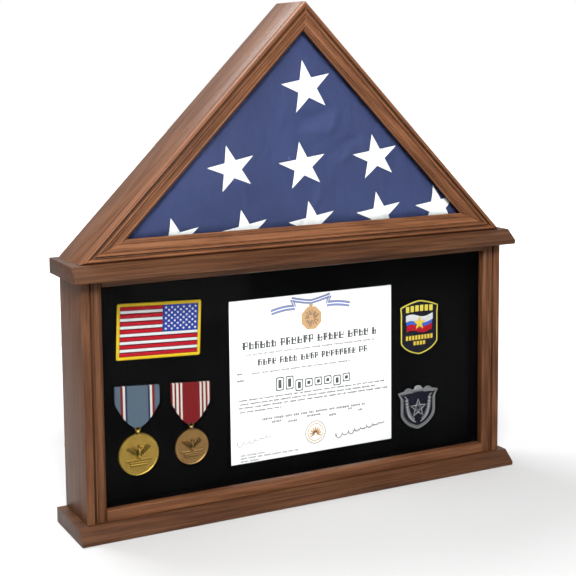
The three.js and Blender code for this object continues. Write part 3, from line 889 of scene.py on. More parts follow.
class MouldingsOperator(bpy.types.Operator):
    """Stiles and rails of the shadow box, and the mitred mouldings of the flag case"""

    bl_idname = "flag_case.mouldings"
    bl_label = "Mouldings"

    def execute(self, context):
        turns = {
            "stile_left": UPRIGHT, "stile_right": UPRIGHT, "bottom_rail": 0, "top_rail": 0,
            "face_moulding_left": SLOPE, "face_moulding_right": -SLOPE, "face_moulding_bottom": 0,
        }
        walnut_pieces(turns, sizes().moulding_edge, 12, 0.17, angle=math.radians(38))
        return {"FINISHED"}


class GlassOperator(bpy.types.Operator):
    """The two panes"""

    bl_idname = "flag_case.glass"
    bl_label = "Glass"

    def execute(self, context):
        for node in ("glass_lower", "glass_upper"):
            pane = merged_copy(node, f"clear_{node}")
            ease_edges(pane, sizes().metal_edge)
            finished(pane, "case", clear_glass("clear_glass"), [node])
        return {"FINISHED"}


class LiningOperator(bpy.types.Operator):
    """Felt-covered spacers, the stretched felt and the pin board behind it"""

    bl_idname = "flag_case.lining"
    bl_label = "Lining"

    def execute(self, context):
        black = felt("felt_lining")
        for side in ("left", "right", "top", "bottom"):
            piece = merged_copy(f"liner_{side}", f"felt_liner_{side}")
            ease_edges(piece, 2.5 * sizes().moulding_edge, segments=3)
            finished(piece, "case", black, [f"liner_{side}"])
        board = merged_copy("pin_board", "foam_pin_board")
        ease_edges(board, sizes().board_edge)
        finished(board, "lower_back", foam("board_foam"), ["pin_board"])
        cloth = merged_copy("felt_cover", "stretched_felt")
        ease_edges(cloth, sizes().moulding_edge * 1.5, segments=3)
        finished(cloth, "lower_back", black, ["felt_cover"])
        return {"FINISHED"}


class BacksOperator(bpy.types.Operator):
    """The plywood backs of the two cases"""

    bl_idname = "flag_case.backs"
    bl_label = "Backs"

    def execute(self, context):
        for node, body in (("back_panel_lower", "lower_back"), ("back_panel_upper", "upper_back")):
            panel = merged_copy(node, f"plywood_{node}")
            ease_edges(panel, sizes().moulding_edge)
            finished(panel, body, plywood("stained_plywood"), [node])
        return {"FINISHED"}


SLOT_WIDE = 0.9 * MM


def cross_recess(piece, place, along, reach, depth):
    """Cuts the cross of a screwdriver into a screw's head."""
    arms = []
    for number, (wide, tall) in enumerate([(reach, SLOT_WIDE), (SLOT_WIDE, reach)]):
        scale = (wide, depth, tall) if along == "Y" else (wide, tall, depth)
        arms.append(new_primitive(
            bpy.ops.mesh.primitive_cube_add, f"recess_arm_{number}", size=1, location=place, scale=scale,
        ))
    for arm in arms:
        apply_modifier(arm, "BEVEL", width=0.15 * MM, segments=1)
        apply_modifier(piece, "BOOLEAN", object=arm, operation="DIFFERENCE", solver="EXACT")
        remove(arm)


class HardwareOperator(bpy.types.Operator):
    """Brass turn buttons on the back edges, their screws, and the screws under the boards"""

    bl_idname = "flag_case.hardware"
    bl_label = "Hardware"

    def execute(self, context):
        brass = metal("lacquered_brass", colours().brass, (0.16, 0.09, 0.03))
        nodes = sorted(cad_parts)
        for node in [n for n in nodes if n.startswith("turn_button_")]:
            button = merged_copy(node, f"brass_{node}")
            ease_edges(button, sizes().metal_edge, segments=3)
            finished(button, node.replace("turn_", ""), brass, [node])
        for node in [n for n in nodes if "_screw_" in n]:
            screw = merged_copy(node, f"brass_{node}")
            low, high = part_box(node)
            middle = (low + high) / 2
            reach = 0.62 * (high.x - low.x)
            if node.startswith("button_screw_"):
                cross_recess(screw, (middle.x, high.y, middle.z), "Y", reach, 1.8 * MM)
            else:
                cross_recess(screw, (middle.x, middle.y, low.z), "Z", reach, 2.4 * MM)
            ease_edges(screw, sizes().metal_edge * 0.4, segments=1)
            finished(screw, "case", brass, [node])
        return {"FINISHED"}


# ------------------------------------------------------------------ folded flag
# soft creases of the cloth: both ends (x, z), how deep (a ridge is below zero) and how wide, in mm
CREASES = [
    ((-8, 517), (46, 531), 2.0, 11), ((56, 533), (45, 502), -1.6, 7), ((14, 507), (40, 505), -1.3, 8),
    ((68, 489), (98, 496), 1.7, 9), ((84, 482), (62, 462), -1.4, 6), ((32, 430), (20, 400), -1.2, 6),
    ((-30, 470), (-52, 505), 0.9, 12), ((52, 440), (60, 405), 1.0, 9), ((-70, 520), (-40, 560), 0.9, 14),
    ((-150, 430), (-120, 405), -0.9, 10), ((140, 430), (165, 400), 1.1, 12),
    ((-55, 402), (-46, 384), 0.9, 6),
]
CREASE_GAIN = 1.9
# stars are cut off this far inside the outer edges of the triangular case
SEWN_EDGE = 17 * MM
# the cloth starts this much smaller than the space it fills once it has swollen
SLACK = (0.992, 0.93, 0.988)
SIDEWAYS_SWELL = 0.3
GAP_TO_STOPS, GAP_TO_GLASS = 0.8 * MM, 1.2 * MM
STOPS_END, STOPS_FADE = 18, 14
CREASE_FADE = 16 * MM


def inset_at(x, z):
    """How far a point is from the nearest outer edge of the triangular case, seen from the front."""
    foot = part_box("slope_board_left")[0]
    up = z - foot.z
    return min(up, (-foot.x - abs(x)) * math.sin(SLOPE) - up * math.cos(SLOPE))


def nearest_part(point, start, end):
    """Distance from a point to a line's stretch, and how far along it the nearest place is."""
    line = end - start
    share = max(0.0, min(1.0, (point - start).dot(line) / line.length_squared))
    return (point - start - line * share).length, share


def crease_depth(x, z):
    here = Vector((x, z)) / MM
    total = 0.0
    for start, end, depth, width in CREASES:
        distance, share = nearest_part(here, Vector(start), Vector(end))
        fade = math.sin(math.pi * (0.12 + 0.76 * share))
        total += CREASE_GAIN * depth * fade * math.exp(-(distance / width) ** 2)
    slow = noise.noise(Vector((here.x / 95, 0.0, here.y / 70)))
    quick = noise.noise(Vector((here.x / 26 + 9, 3.0, here.y / 40)))
    return (total + 1.1 * slow + 0.35 * quick) * MM


def front_limit(x, z):
    """The furthest forward that the flag may come: behind the stops at the edge, else behind the glass."""
    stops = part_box("glass_stop_bottom")
    behind_stop = stops[1].y + GAP_TO_STOPS
    behind_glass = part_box("glass_upper")[1].y + GAP_TO_GLASS
    share = max(0.0, min(1.0, (inset_at(x, z) / MM - STOPS_END) / STOPS_FADE))
    return behind_stop + (behind_glass - behind_stop) * share


def swell(piece, furthest, frames=20):
    """Blows a closed cloth up a little, as far as the limit given."""
    before = [vertex.co.copy() for vertex in piece.data.vertices]
    only(piece)
    bpy.ops.object.modifier_add(type="CLOTH")
    cloth = piece.modifiers[-1]
    cloth.settings.use_pressure = True
    cloth.settings.uniform_pressure_force = 4
    cloth.settings.effector_weights.gravity = 0
    scene = bpy.context.scene
    for number in range(1, frames + 1):
        scene.frame_set(number)
    bpy.ops.object.modifier_apply(modifier=cloth.name)
    for vertex, start in zip(piece.data.vertices, before):
        move = vertex.co - start
        if move.length > furthest:
            move *= furthest / move.length
        vertex.co = start + Vector((move.x * SIDEWAYS_SWELL, move.y, move.z * SIDEWAYS_SWELL))
    scene.frame_set(1)


# each star: across, up, half width, share of its height, lean to the left (mm and degrees)
STARS = [
    (10, 566, 39, 0.95, 11), (-103, 461, 36, 0.89, 13), (3, 460, 37, 0.9, 9), (118, 467, 38, 0.85, 9),
    (-183, 371, 36, 0.88, 13), (-83, 375, 36, 0.88, 12), (18, 380, 37, 0.88, 11), (125, 386, 38, 0.87, 10),
    (222, 390, 38, 0.86, 9),
]


def star_sheet(name, star, grow, front):
    """One star cut to what shows of it, with enough points to follow the cloth."""
    x, z, half, share, lean = star
    centre = (x * MM, z * MM)
    radius = half * MM + grow
    outline = star_outline(centre, radius, math.radians(lean))
    sheet = new_primitive(
        bpy.ops.mesh.primitive_circle_add, name, vertices=10, radius=radius, fill_type="NGON",
    )
    for vertex, (x, z) in zip(sheet.data.vertices, outline):
        vertex.co = (x, front, centre[1] + (z - centre[1]) * share)
    editing(sheet)
    bpy.ops.mesh.inset(thickness=radius * 0.06)
    select_everything()
    bpy.ops.mesh.quads_convert_to_tris()
    bpy.ops.mesh.subdivide(number_cuts=9)
    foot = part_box("slope_board_left")[0]
    for side in (-1, 1):
        select_everything()
        bpy.ops.mesh.bisect(
            plane_co=(side * (-foot.x - SEWN_EDGE / math.sin(SLOPE)), 0, foot.z),
            plane_no=(side * math.sin(SLOPE), 0, math.cos(SLOPE)), clear_outer=True,
        )
    select_everything()
    bpy.ops.mesh.bisect(plane_co=(0, 0, foot.z + SEWN_EDGE), plane_no=(0, 0, 1), clear_inner=True)
    object_mode()
    return sheet


def laid_on(piece, cloth, lift, thick):
    """Lays a flat piece on the front of the cloth and gives it its thickness."""
    apply_modifier(
        piece, "SHRINKWRAP", target=cloth, wrap_method="PROJECT", use_project_y=True,
        use_project_x=False, use_project_z=False, use_positive_direction=True, use_negative_direction=True,
    )
    only(piece)
    piece.location.y = -lift
    apply_place(piece)
    recalculate(piece)
    faces_back = sum(face.normal.y * face.area for face in piece.data.polygons) > 0
    if faces_back:
        editing(piece)
        bpy.ops.mesh.flip_normals()
        object_mode()
    apply_modifier(piece, "SOLIDIFY", thickness=thick, offset=-1)


class FoldedFlagOperator(bpy.types.Operator):
    """The folded flag, swollen and creased as cloth, and its sewn stars"""

    bl_idname = "flag_case.folded_flag"
    bl_label = "Folded flag"

    def execute(self, context):
        cloth = merged_copy("folded_flag", "folded_flag_cloth")
        editing(cloth)
        bpy.ops.transform.resize(
            value=SLACK, center_override=middle_of("folded_flag"),
        )
        object_mode()
        cloth.data.remesh_voxel_size = sizes().cloth_grid
        bpy.ops.object.voxel_remesh()
        swell(cloth, sizes().cloth_swell)
        apply_modifier(cloth, "SUBSURF", levels=1, render_levels=1)
        middle = middle_of("folded_flag").y
        for vertex in cloth.data.vertices:
            x, y, z = vertex.co
            if y < middle:
                facing = min(1.0, (middle - y) / CREASE_FADE)
                y += facing * crease_depth(x, z)
                y = max(y, front_limit(x, z))
            vertex.co.y = y
        finished(cloth, "case", flag_cotton("navy_cotton"), ["folded_flag"], math.radians(60))

        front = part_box("folded_flag")[0].y - 5 * MM
        for name, grow, lift, thick, material in [
            ("star_stitching", sizes().star_seam, 0.25 * MM, 0.35 * MM,
             thread("navy_stitching", dyed(colours().flag_blue, 0.35), threads=300.0)),
            ("sewn_stars", 0.0, 0.75 * MM, 0.6 * MM, star_cotton("white_star_cotton")),
        ]:
            stars = joined(name, [
                star_sheet(f"{name}_{i}", star, grow, front) for i, star in enumerate(STARS)
            ])
            laid_on(stars, cloth, lift, thick)
            finished(stars, "case", material)
        return {"FINISHED"}


# ------------------------------------------------------------------ certificate
INK_THICK = 0.05 * MM
SIGNATURE_FLATNESS = 0.12
# rows of greeked print: left, right, foot, height (mm in the case), ink
HEADINGS = [(-72, 143, 205.0, 10.4, "black"), (-49, 125, 181.0, 8.6, "black")]
SMALL_ROWS = [
    (-66, 139, 196.3, 2.5, "grey"), (-58, 98, 169.6, 2.5, "grey"), (-81, -71, 170.8, 2.8, "black"),
    (-81, -69, 161.2, 2.8, "black"), (-78, 155, 133.4, 2.4, "black"), (-77, 141, 128.0, 2.4, "black"),
    (-78, 163, 122.9, 2.4, "black"), (-77, -13, 116.9, 2.4, "black"), (-43, 123, 102.6, 3.4, "grey"),
    (-28, -14, 97.2, 3.2, "grey"), (-3, 14, 94.2, 3.2, "grey"), (28, 51, 97.6, 3.2, "grey"),
    (63, 75, 94.2, 3.2, "grey"), (95, 103, 99.2, 2.8, "grey"), (112, 119, 95.4, 2.8, "grey"),
    (-77, -40, 55.8, 2.6, "faint"), (-77, 14, 51.8, 2.6, "faint"), (-77, -49, 47.4, 2.4, "faint"),
]


def add_mark(x, z, width, height, front):
    """One upright mark of ink, added to the mesh that is being edited."""
    middle = ((x + width / 2) * MM, front, (z + height / 2) * MM)
    bpy.ops.mesh.primitive_plane_add(size=MM, location=middle, rotation=(math.pi / 2, 0, 0))
    bpy.ops.transform.resize(value=(width, 1, height), center_override=middle)


def heading_mark(dice, x, foot, height, front):
    """A stem, a second stroke and two bars, which look like a capital and are none."""
    wide = height * dice.uniform(0.30, 0.38)
    reach = height * dice.uniform(0.66, 0.82)
    layer = 0.01 * MM
    add_mark(x + 0.06 * height, foot, wide, height, front)
    second = foot + dice.choice([0, 0.3]) * height
    add_mark(x + reach - 0.16 * height, second, height * 0.17, height * 0.7, front - layer)
    add_mark(x, foot + dice.choice([0, 0.9]) * height, reach, height * 0.15, front - 2 * layer)
    middle = foot + dice.choice([0.4, 0.55]) * height
    add_mark(x, middle, reach * 0.8, height * 0.15, front - 3 * layer)
    return reach


def greeked_row(dice, left, right, foot, height, front, heading):
    """Words as groups of plain strokes, which can't be read."""
    x = left
    while x < right - height * 0.4:
        for _ in range(dice.randint(3, 8)):
            if x > right - height * 0.3:
                break
            if heading:
                x += heading_mark(dice, x, foot, height, front) + height * 0.12
            else:
                wide = height * dice.uniform(0.44, 0.80)
                low = dice.choice([0.0, 0.0, 0.18])
                add_mark(x, foot + height * low, wide, height * (1 - low), front)
                x += wide + height * 0.20
        x += height * (0.5 if heading else 0.75)


def thickened(piece, thick):
    """Pulls flat ink forward from its place, so that it is closed."""
    editing(piece)
    bpy.ops.mesh.extrude_region_move(TRANSFORM_OT_translate={"value": (0, -thick, 0)})
    select_everything()
    bpy.ops.mesh.normals_make_consistent(inside=False)
    object_mode()


def ink(shade_name):
    own = colours()
    shades = {
        "black": (own.ink, 0.12), "grey": (dyed(own.ink, 4), 0.3), "faint": (dyed(own.ink, 12), 0.5),
        "blue": ((0.075, 0.12, 0.42), 0.2), "silver": ((0.20, 0.20, 0.21), 0.15),
        "tan": ((0.42, 0.23, 0.085), 0.15), "brown": ((0.16, 0.075, 0.025), 0.15),
        "white": (own.paper, 0.1),
    }
    shade, spread = shades[shade_name]
    return printed(f"ink_{shade_name}", shade, spread)


def inked(name, outline, shade_name, layer):
    """A flat printed shape; a higher layer lies on a lower one."""
    front = FRONT_OF_CERTIFICATE - layer * INK_THICK
    piece = flat_shape(name, [(x * MM, z * MM) for x, z in outline], front - INK_THICK, front - 0.01 * MM)
    return painted(piece, ink(shade_name))


def streamer(points, half):
    """Outline of a printed ribbon that follows its middle line."""
    upper, lower = [], []
    for i, (x, z) in enumerate(points):
        ahead = points[min(i + 1, len(points) - 1)]
        behind = points[max(i - 1, 0)]
        along = Vector((ahead[0] - behind[0], ahead[1] - behind[1])).normalized()
        upper.append((x - along.y * half, z + along.x * half))
        lower.append((x + along.y * half, z - along.x * half))
    return lower + upper[::-1]


KNOT = (35.6, 262.5)
MEDALLION = (36.3, 239.2)
MEDALLION_RADIUS = 17.4
SEAL = (41.3, 74.3)
SEAL_RINGS = [(16.6, "brown"), (15.5, "white"), (12.8, "tan"), (11.4, "white")]
NAME_HEIGHTS = [19.5, 19.5, 17, 12.5, 12.5, 12.5, 15.5, 12.5]
NAME_LEFT, NAME_FOOT, NAME_WIDE, NAME_PITCH = -21.0, 141.3, 12.6, 15.3


def whole_circle(centre, radius, sides):
    return arc(centre, radius, 0, 2 * math.pi, sides)[:-1]


def on_circle(centre, radius, angle):
    return (centre[0] + radius * math.cos(angle), centre[1] + radius * math.sin(angle))


def printed_ribbon():
    """A blue-edged ribbon with a white line down its middle, folded over at both ends."""
    pieces = []
    for number, side in enumerate((-1, 1)):
        lift = 0.6 if side > 0 else 0.0

        def spot(across, height):
            return (KNOT[0] + side * across, height)

        swag = [KNOT] + bend(KNOT, spot(14, 264 + lift), spot(31, 268.5 + lift), 8)
        tail = [spot(25, 256.6)] + bend(spot(25, 256.6), spot(41, 258.5), spot(63, 252.8), 8)
        turn_down = [spot(31, 268.2), spot(27.5, 262), spot(26, 257)]
        for part, (line, half) in enumerate([(tail, 4.3), (turn_down, 2.6), (swag, 3.6)]):
            pieces += [
                inked(f"streamer_{number}_{part}", streamer(line, half), "silver", 1 + part),
                inked(f"stripe_{number}_{part}", streamer(line, half * 0.62), "blue", 2 + part),
                inked(f"line_{number}_{part}", streamer(line, half * 0.14), "white", 3 + part),
            ]
    return pieces


def printed_leaf(name, centre, angle, inner, outer, half, shade_name, layer):
    """A short stroke that points away from a centre."""
    ends = [on_circle(centre, radius, angle) for radius in (inner, outer)]
    middle = tuple((a + b) / 2 for a, b in zip(*ends))
    return inked(name, streamer([ends[0], middle, ends[1]], half), shade_name, layer)


def printed_medallion(dice):
    """An eight-sided disc with a wreath of uneven leaves."""
    eighth = math.pi / 4
    corners = [on_circle(MEDALLION, MEDALLION_RADIUS, eighth / 2 + i * eighth) for i in range(8)]
    pieces = [
        inked("medallion", corners, "tan", 1),
        inked("medallion_loop", whole_circle((35.6, 257.6), 3.2, 16), "tan", 1),
    ]
    for i in range(16):
        angle = i * eighth / 2 + dice.uniform(-0.1, 0.1)
        inner, outer = dice.uniform(3, 6), dice.uniform(9.5, 13.5)
        half = dice.uniform(0.6, 1.2)
        pieces.append(printed_leaf(f"medallion_leaf_{i}", MEDALLION, angle, inner, outer, half, "brown", 2))
    return pieces


def printed_seal():
    """Rings, a circle of dots and a fan of leaves."""
    pieces = []
    for layer, (radius, shade_name) in enumerate(SEAL_RINGS):
        pieces.append(inked(f"seal_{layer}", whole_circle(SEAL, radius, 40), shade_name, 1 + layer))
    for i in range(22):
        spot = on_circle(SEAL, 14.2, i * 2 * math.pi / 22)
        pieces.append(inked(f"seal_dot_{i}", whole_circle(spot, 0.8, 6), "tan", 5))
    foot = (SEAL[0], SEAL[1] - 2)
    for i in range(9):
        lean = math.radians(90 + (i - 4) * 28)
        pieces.append(printed_leaf(f"seal_leaf_{i}", foot, lean, 1.5, 9.5, 1.3, "tan", 5))
    return pieces


def rounded_block(left, foot, wide, high, corner_share):
    """Outline of an upright block with round corners."""
    corner = min(wide, high) / 2 * corner_share
    right, top = left + wide - corner, foot + high - corner
    outline = []
    for centre, start in [
        ((right, foot + corner), -math.pi / 2), ((right, top), 0),
        ((left + corner, top), math.pi / 2), ((left + corner, foot + corner), math.pi),
    ]:
        outline += arc(centre, corner, start, start + math.pi / 2, 4)
    return outline


def name_band():
    """A generic name: outlined upright blocks of unequal height."""
    pieces = []
    for i, tall in enumerate(NAME_HEIGHTS):
        left = NAME_LEFT + i * NAME_PITCH
        foot = NAME_FOOT - (4.0 if i in (2, 6) else 0.0)
        for layer, (shrink, shade_name) in enumerate([(0.0, "black"), (1.7, "white"), (3.7, "black")]):
            wide, high = NAME_WIDE - 2 * shrink, tall - 2 * shrink
            outline = rounded_block(left + shrink, foot + shrink, wide, high, 0.35)
            pieces.append(inked(f"name_block_{i}_{layer}", outline, shade_name, 1 + layer))
    return pieces


def signature(name, left, foot, wide, loops, shade_name, thick):
    """A quick scrawl of loops along a line."""
    points = []
    for i in range(loops * 14 + 1):
        t = i / (loops * 14)
        swing = 2 * math.pi * loops * t
        size = (3.6 - 2.2 * t) * (1 + 0.35 * math.sin(swing * 0.37 + 1))
        points.append((
            (left + wide * t + 1.9 * math.cos(swing)) * MM,
            FRONT_OF_CERTIFICATE - 2 * INK_THICK,
            (foot + 5 + size * math.sin(swing) + wide * 0.13 * t) * MM,
        ))
    piece = cord_of(name, points, thick * MM, sides=1)
    piece.data.materials.append(ink(shade_name))
    only(piece)
    piece.scale.y = SIGNATURE_FLATNESS
    piece.location.y = (FRONT_OF_CERTIFICATE - 2 * INK_THICK) * (1 - SIGNATURE_FLATNESS)
    apply_place(piece)
    return piece


class CertificateOperator(bpy.types.Operator):
    """The certificate and its print, with no words that can be read"""

    bl_idname = "flag_case.certificate"
    bl_label = "Certificate"

    def execute(self, context):
        dice = random.Random(11)
        sheet = merged_copy("certificate", "certificate_sheet")
        ease_edges(sheet, 0.2 * MM, segments=2)
        finished(sheet, "lower_back", paper("laid_paper"), ["certificate"])

        front = FRONT_OF_CERTIFICATE - 0.01 * MM
        pieces = []
        for shade_name in ("black", "grey", "faint"):
            marks = new_primitive(
                bpy.ops.mesh.primitive_plane_add, f"print_{shade_name}", size=0.4 * MM,
                location=(0.05, front, 0.148), rotation=(math.pi / 2, 0, 0),
            )
            apply_place(marks)
            editing(marks)
            for left, right, foot, high, shade in HEADINGS:
                if shade == shade_name:
                    greeked_row(dice, left, right, foot, high, front, True)
            for left, right, foot, high, shade in SMALL_ROWS:
                if shade == shade_name:
                    greeked_row(dice, left, right, foot, high, front, False)
            object_mode()
            thickened(marks, INK_THICK)
            pieces.append(painted(marks, ink(shade_name)))
        pieces += printed_ribbon() + printed_medallion(dice) + printed_seal() + name_band()
        pieces.append(signature("signature_right", 72, 58, 82, 8, "grey", 0.75))
        pieces.append(signature("signature_left", -84, 68, 54, 6, "faint", 0.6))
        rule = [(98, 66.6), (150, 70.5), (150, 71.2), (98, 67.3)]
        pieces.append(inked("signature_rule", rule, "faint", 1))
        print_on_it = joined("certificate_print", pieces)
        finished(print_on_it, "lower_back", None)
        return {"FINISHED"}


# ------------------------------------------------------------------ patches and badge
def patch_depths(node):
    low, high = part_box(node)
    return low.y, high.y


def border_cord(name, outline, half, front, back, material):
    """The overlocked border of a patch: a thick thread edge, flattened."""
    piece = cord_of(name, [(x, 0, z) for x, z in outline], half, closed=True, sides=4)
    only(piece)
    piece.scale.y = (back - front) / 2 / half * 1.1
    piece.location.y = (front + back) / 2
    apply_place(piece)
    return painted(piece, material)


def cushioned(name, outline, front, back, round_off, material):
    """A block of stitches with rounded shoulders."""
    piece = flat_shape(name, outline, front, back)
    ease_edges(piece, round_off, segments=3, angle=math.radians(50))
    return painted(piece, material)


PATCH_HALF_WIDE, PATCH_HALF_HIGH = 59.75 * MM, 37.5 * MM
PATCH_TURN = -0.045
STRIPES, CANTON_STRIPES = 13, 7


class FlagPatchOperator(bpy.types.Operator):
    """The embroidered flag patch, its stripes and dots in relief"""

    bl_idname = "flag_case.flag_patch"
    bl_label = "Flag patch"

    def execute(self, context):
        own = colours()
        centre = middle_of("flag_patch")
        front, back = patch_depths("flag_patch")
        turn, border = PATCH_TURN, sizes().border
        place = (centre.x, 0, centre.z)

        def at(u, v):
            return (
                centre.x + u * math.cos(turn) - v * math.sin(turn),
                centre.z + u * math.sin(turn) + v * math.cos(turn),
            )

        def block(left, right, low, high):
            return [at(left, low), at(right, low), at(right, high), at(left, high)]

        red = thread("red_thread", own.thread_red, place, turn, 330.0)
        white = thread("white_thread", own.thread_white, place, turn, 330.0)
        blue = thread("blue_thread", own.thread_blue, place, turn, 330.0)
        yellow = thread("yellow_border_thread", own.thread_yellow, place, math.radians(45), 380.0)
        ground_wide, ground_high = PATCH_HALF_WIDE - 2 * MM, PATCH_HALF_HIGH - 2 * MM
        # painted shadow: the ground is dyed dark red and shows in the gaps between the stripes as their
        # shadow lines
        pieces = [cushioned(
            "patch_ground", block(-ground_wide, ground_wide, -ground_high, ground_high),
            front + 1.1 * MM, back - 0.1 * MM, 0.2 * MM, twill("patch_twill", (0.03, 0.004, 0.006)),
        )]
        inner_wide, inner_high = (half - border + 0.3 * MM for half in (PATCH_HALF_WIDE, PATCH_HALF_HIGH))
        pitch = 2 * inner_high / STRIPES
        canton_left, canton_low = inner_wide * 0.085, inner_high - CANTON_STRIPES * pitch
        for row in range(STRIPES):
            top = inner_high - row * pitch
            is_red = row % 2 == 0
            # the stripes stop short of each other, so the dark red ground shows between them as painted
            # shadow lines
            tall = pitch * (0.98 if is_red else 0.84)
            right = canton_left if row < CANTON_STRIPES else inner_wide
            pieces.append(cushioned(
                f"stripe_{row}", block(-inner_wide, right, top - tall, top - 0.12 * MM),
                front + (0.15 * MM if is_red else 0.45 * MM), back - 0.3 * MM,
                pitch * (0.30 if is_red else 0.22), red if is_red else white,
            ))
        pieces.append(cushioned(
            "canton", block(canton_left + 0.3 * MM, inner_wide, canton_low, inner_high),
            front + 0.25 * MM, back - 0.3 * MM, 0.4 * MM, blue,
        ))
        columns = (inner_wide - canton_left) / 12
        rows = (inner_high - canton_low) / 10
        for row in range(9):
            for column in range(6 - row % 2):
                across = canton_left + columns * (1 + row % 2 + 2 * column)
                middle = at(across, inner_high - rows * (row + 1))
                pieces.append(cushioned(
                    f"dot_{row}_{column}", star_outline(middle, 2.0 * MM, turn, 0.55),
                    front - 0.25 * MM, front + 0.6 * MM, 0.2 * MM, white,
                ))
        ring = []
        corner = 0.8 * MM
        u, v = (half - border / 2 - corner for half in (PATCH_HALF_WIDE, PATCH_HALF_HIGH))
        quarter = math.pi / 2
        for centre_uv, start in [((u, -v), -quarter), ((u, v), 0), ((-u, v), quarter), ((-u, -v), math.pi)]:
            ring += [at(*p) for p in arc(centre_uv, corner, start, start + quarter, 3)]
        pieces.append(border_cord("patch_border", ring, border / 2, front, back, yellow))
        patch = joined("embroidered_flag_patch", pieces)
        finished(patch, "lower_back", None, ["flag_patch"])
        return {"FINISHED"}


def shield_points(x, z, half_top, half_hip, hip, shoulder, high, inset=0.0):
    """The shield's outline from its tip, counterclockwise from the front, pulled in by an inset."""
    shrink_x = (half_top - inset) / half_top
    middle = z + high * 0.55
    shrink_z = (high / 2 - inset) / (high / 2)

    def side(sign):
        def p(u, v):
            return (x + sign * u * shrink_x, middle + (z + v - middle) * shrink_z)
        first = [p(0, 0)] + bend(p(0, 0), p(half_hip * 0.75, hip * 0.25), p(half_hip, hip), 6)
        return first + [p(half_hip, shoulder - 9 * MM), p(half_top, shoulder)] + bend(
            p(half_top, shoulder), p(half_top * 0.5, high - 2 * MM), p(0, high), 6)

    right = side(1)
    left = side(-1)[1:-1]
    return right + left[::-1]


# in mm: middle, foot, half width of the top, half width of the hips, and the heights of the hips,
# of the shoulders and of the whole
SHIELD = [value * MM for value in (216.5, 166, 33, 32, 18, 72, 81)]
BADGE = [value * MM for value in (214.5, 53.5, 35.5, 30, 23, 58, 62)]
# height of each row of bars, height of a bar, how many, half width of the row (mm)
BAR_ROWS = [(63.5, 9.0, 6, 24.5), (22.5, 6.6, 9, 24), (14.6, 5.6, 4, 11)]
BANNER_TOP = 58.0


class ShieldPatchOperator(bpy.types.Operator):
    """The shield patch: black twill, a thin yellow border, a waving banner and plain gold bars"""

    bl_idname = "flag_case.shield_patch"
    bl_label = "Shield patch"

    def execute(self, context):
        own = colours()
        front, back = patch_depths("shield_patch")
        middle_x, foot = SHIELD[0], SHIELD[1]
        place = (middle_x, 0, foot)
        yellow = thread("pale_yellow_thread", (0.60, 0.50, 0.07), place, math.radians(45), 420.0)
        gold = thread("gold_thread", (0.60, 0.43, 0.05), place, 0.0, 380.0)
        pieces = [
            cushioned(
                "shield_ground", shield_points(*SHIELD, inset=1.3 * MM), front + 0.7 * MM, back - 0.1 * MM,
                0.2 * MM, twill("shield_twill", (0.010, 0.010, 0.016)),
            ),
            border_cord(
                "shield_border", shield_points(*SHIELD, inset=1.1 * MM), 1.0 * MM, front, back, yellow),
        ]

        def wave(u):
            return 2.6 * math.sin(u * 2 * math.pi + 0.5) + 1.5 * u

        bands = [
            ("white", own.thread_white, 9.5), ("blue", (0.03, 0.09, 0.42), 5.5),
            ("red", own.thread_red, 9.0),
        ]
        top = BANNER_TOP
        for name, shade, tall in bands:
            upper, lower = [], []
            for i in range(13):
                u = i / 12
                lean = 2.4 * (BANNER_TOP - top) / 24
                x = middle_x + (-23.5 + 47 * u + lean * (1 - 2 * u)) * MM
                upper.append((x, foot + (top + wave(u)) * MM))
                lower.append((x, foot + (top - tall + wave(u)) * MM))
            pieces.append(cushioned(
                f"banner_{name}", lower + upper[::-1], front + 0.35 * MM, front + 1.0 * MM, 0.2 * MM,
                thread(f"banner_{name}_thread", shade, place, 0.0, 400.0),
            ))
            top -= tall
        pieces.append(cushioned(
            "banner_star", star_outline((middle_x, foot + 47 * MM), 11 * MM, 0.0, 0.42), front + 0.05 * MM,
            front + 0.7 * MM, 0.3 * MM, gold,
        ))
        for row, (level, tall, count, reach) in enumerate(BAR_ROWS):
            step = 2 * reach / count
            for i in range(count):
                left = middle_x + (-reach + i * step + 0.12 * step) * MM
                right = left + 0.72 * step * MM
                rise = 1.2 * math.cos((i + 0.5) / count * math.pi - math.pi / 2) if row == 0 else 0.0
                low = foot + (level + rise) * MM
                high = low + tall * MM
                pieces.append(cushioned(
                    f"bar_{row}_{i}", [(left, low), (right, low), (right, high), (left, high)],
                    front + 0.3 * MM, front + 1.0 * MM, 0.25 * MM, yellow if row == 0 else gold,
                ))
        patch = joined("embroidered_shield_patch", pieces)
        finished(patch, "lower_back", None, ["shield_patch"])
        return {"FINISHED"}


# the crest's three scallops: offset, height and radius (mm)
SCALLOPS = [(0, 60.5, 6.8), (-17, 57.5, 7.2), (17, 57.5, 7.2)]
SCALLOP_SQUASH = 0.82
LEAF_LONG, LEAF_BULGE, LEAF_TOP = 4.8, 0.75, 53


def on_badge(points):
    """Points of (x, z) in mm, measured from the badge's foot."""
    return [(BADGE[0] + x * MM, BADGE[1] + z * MM) for x, z in points]


def badge_wire(name, points, depth, radius, material, **settings):
    """A couched thread on the badge, along points of (x, z) in metres."""
    return painted(cord_of(name, [(x, depth, z) for x, z in points], radius, **settings), material)


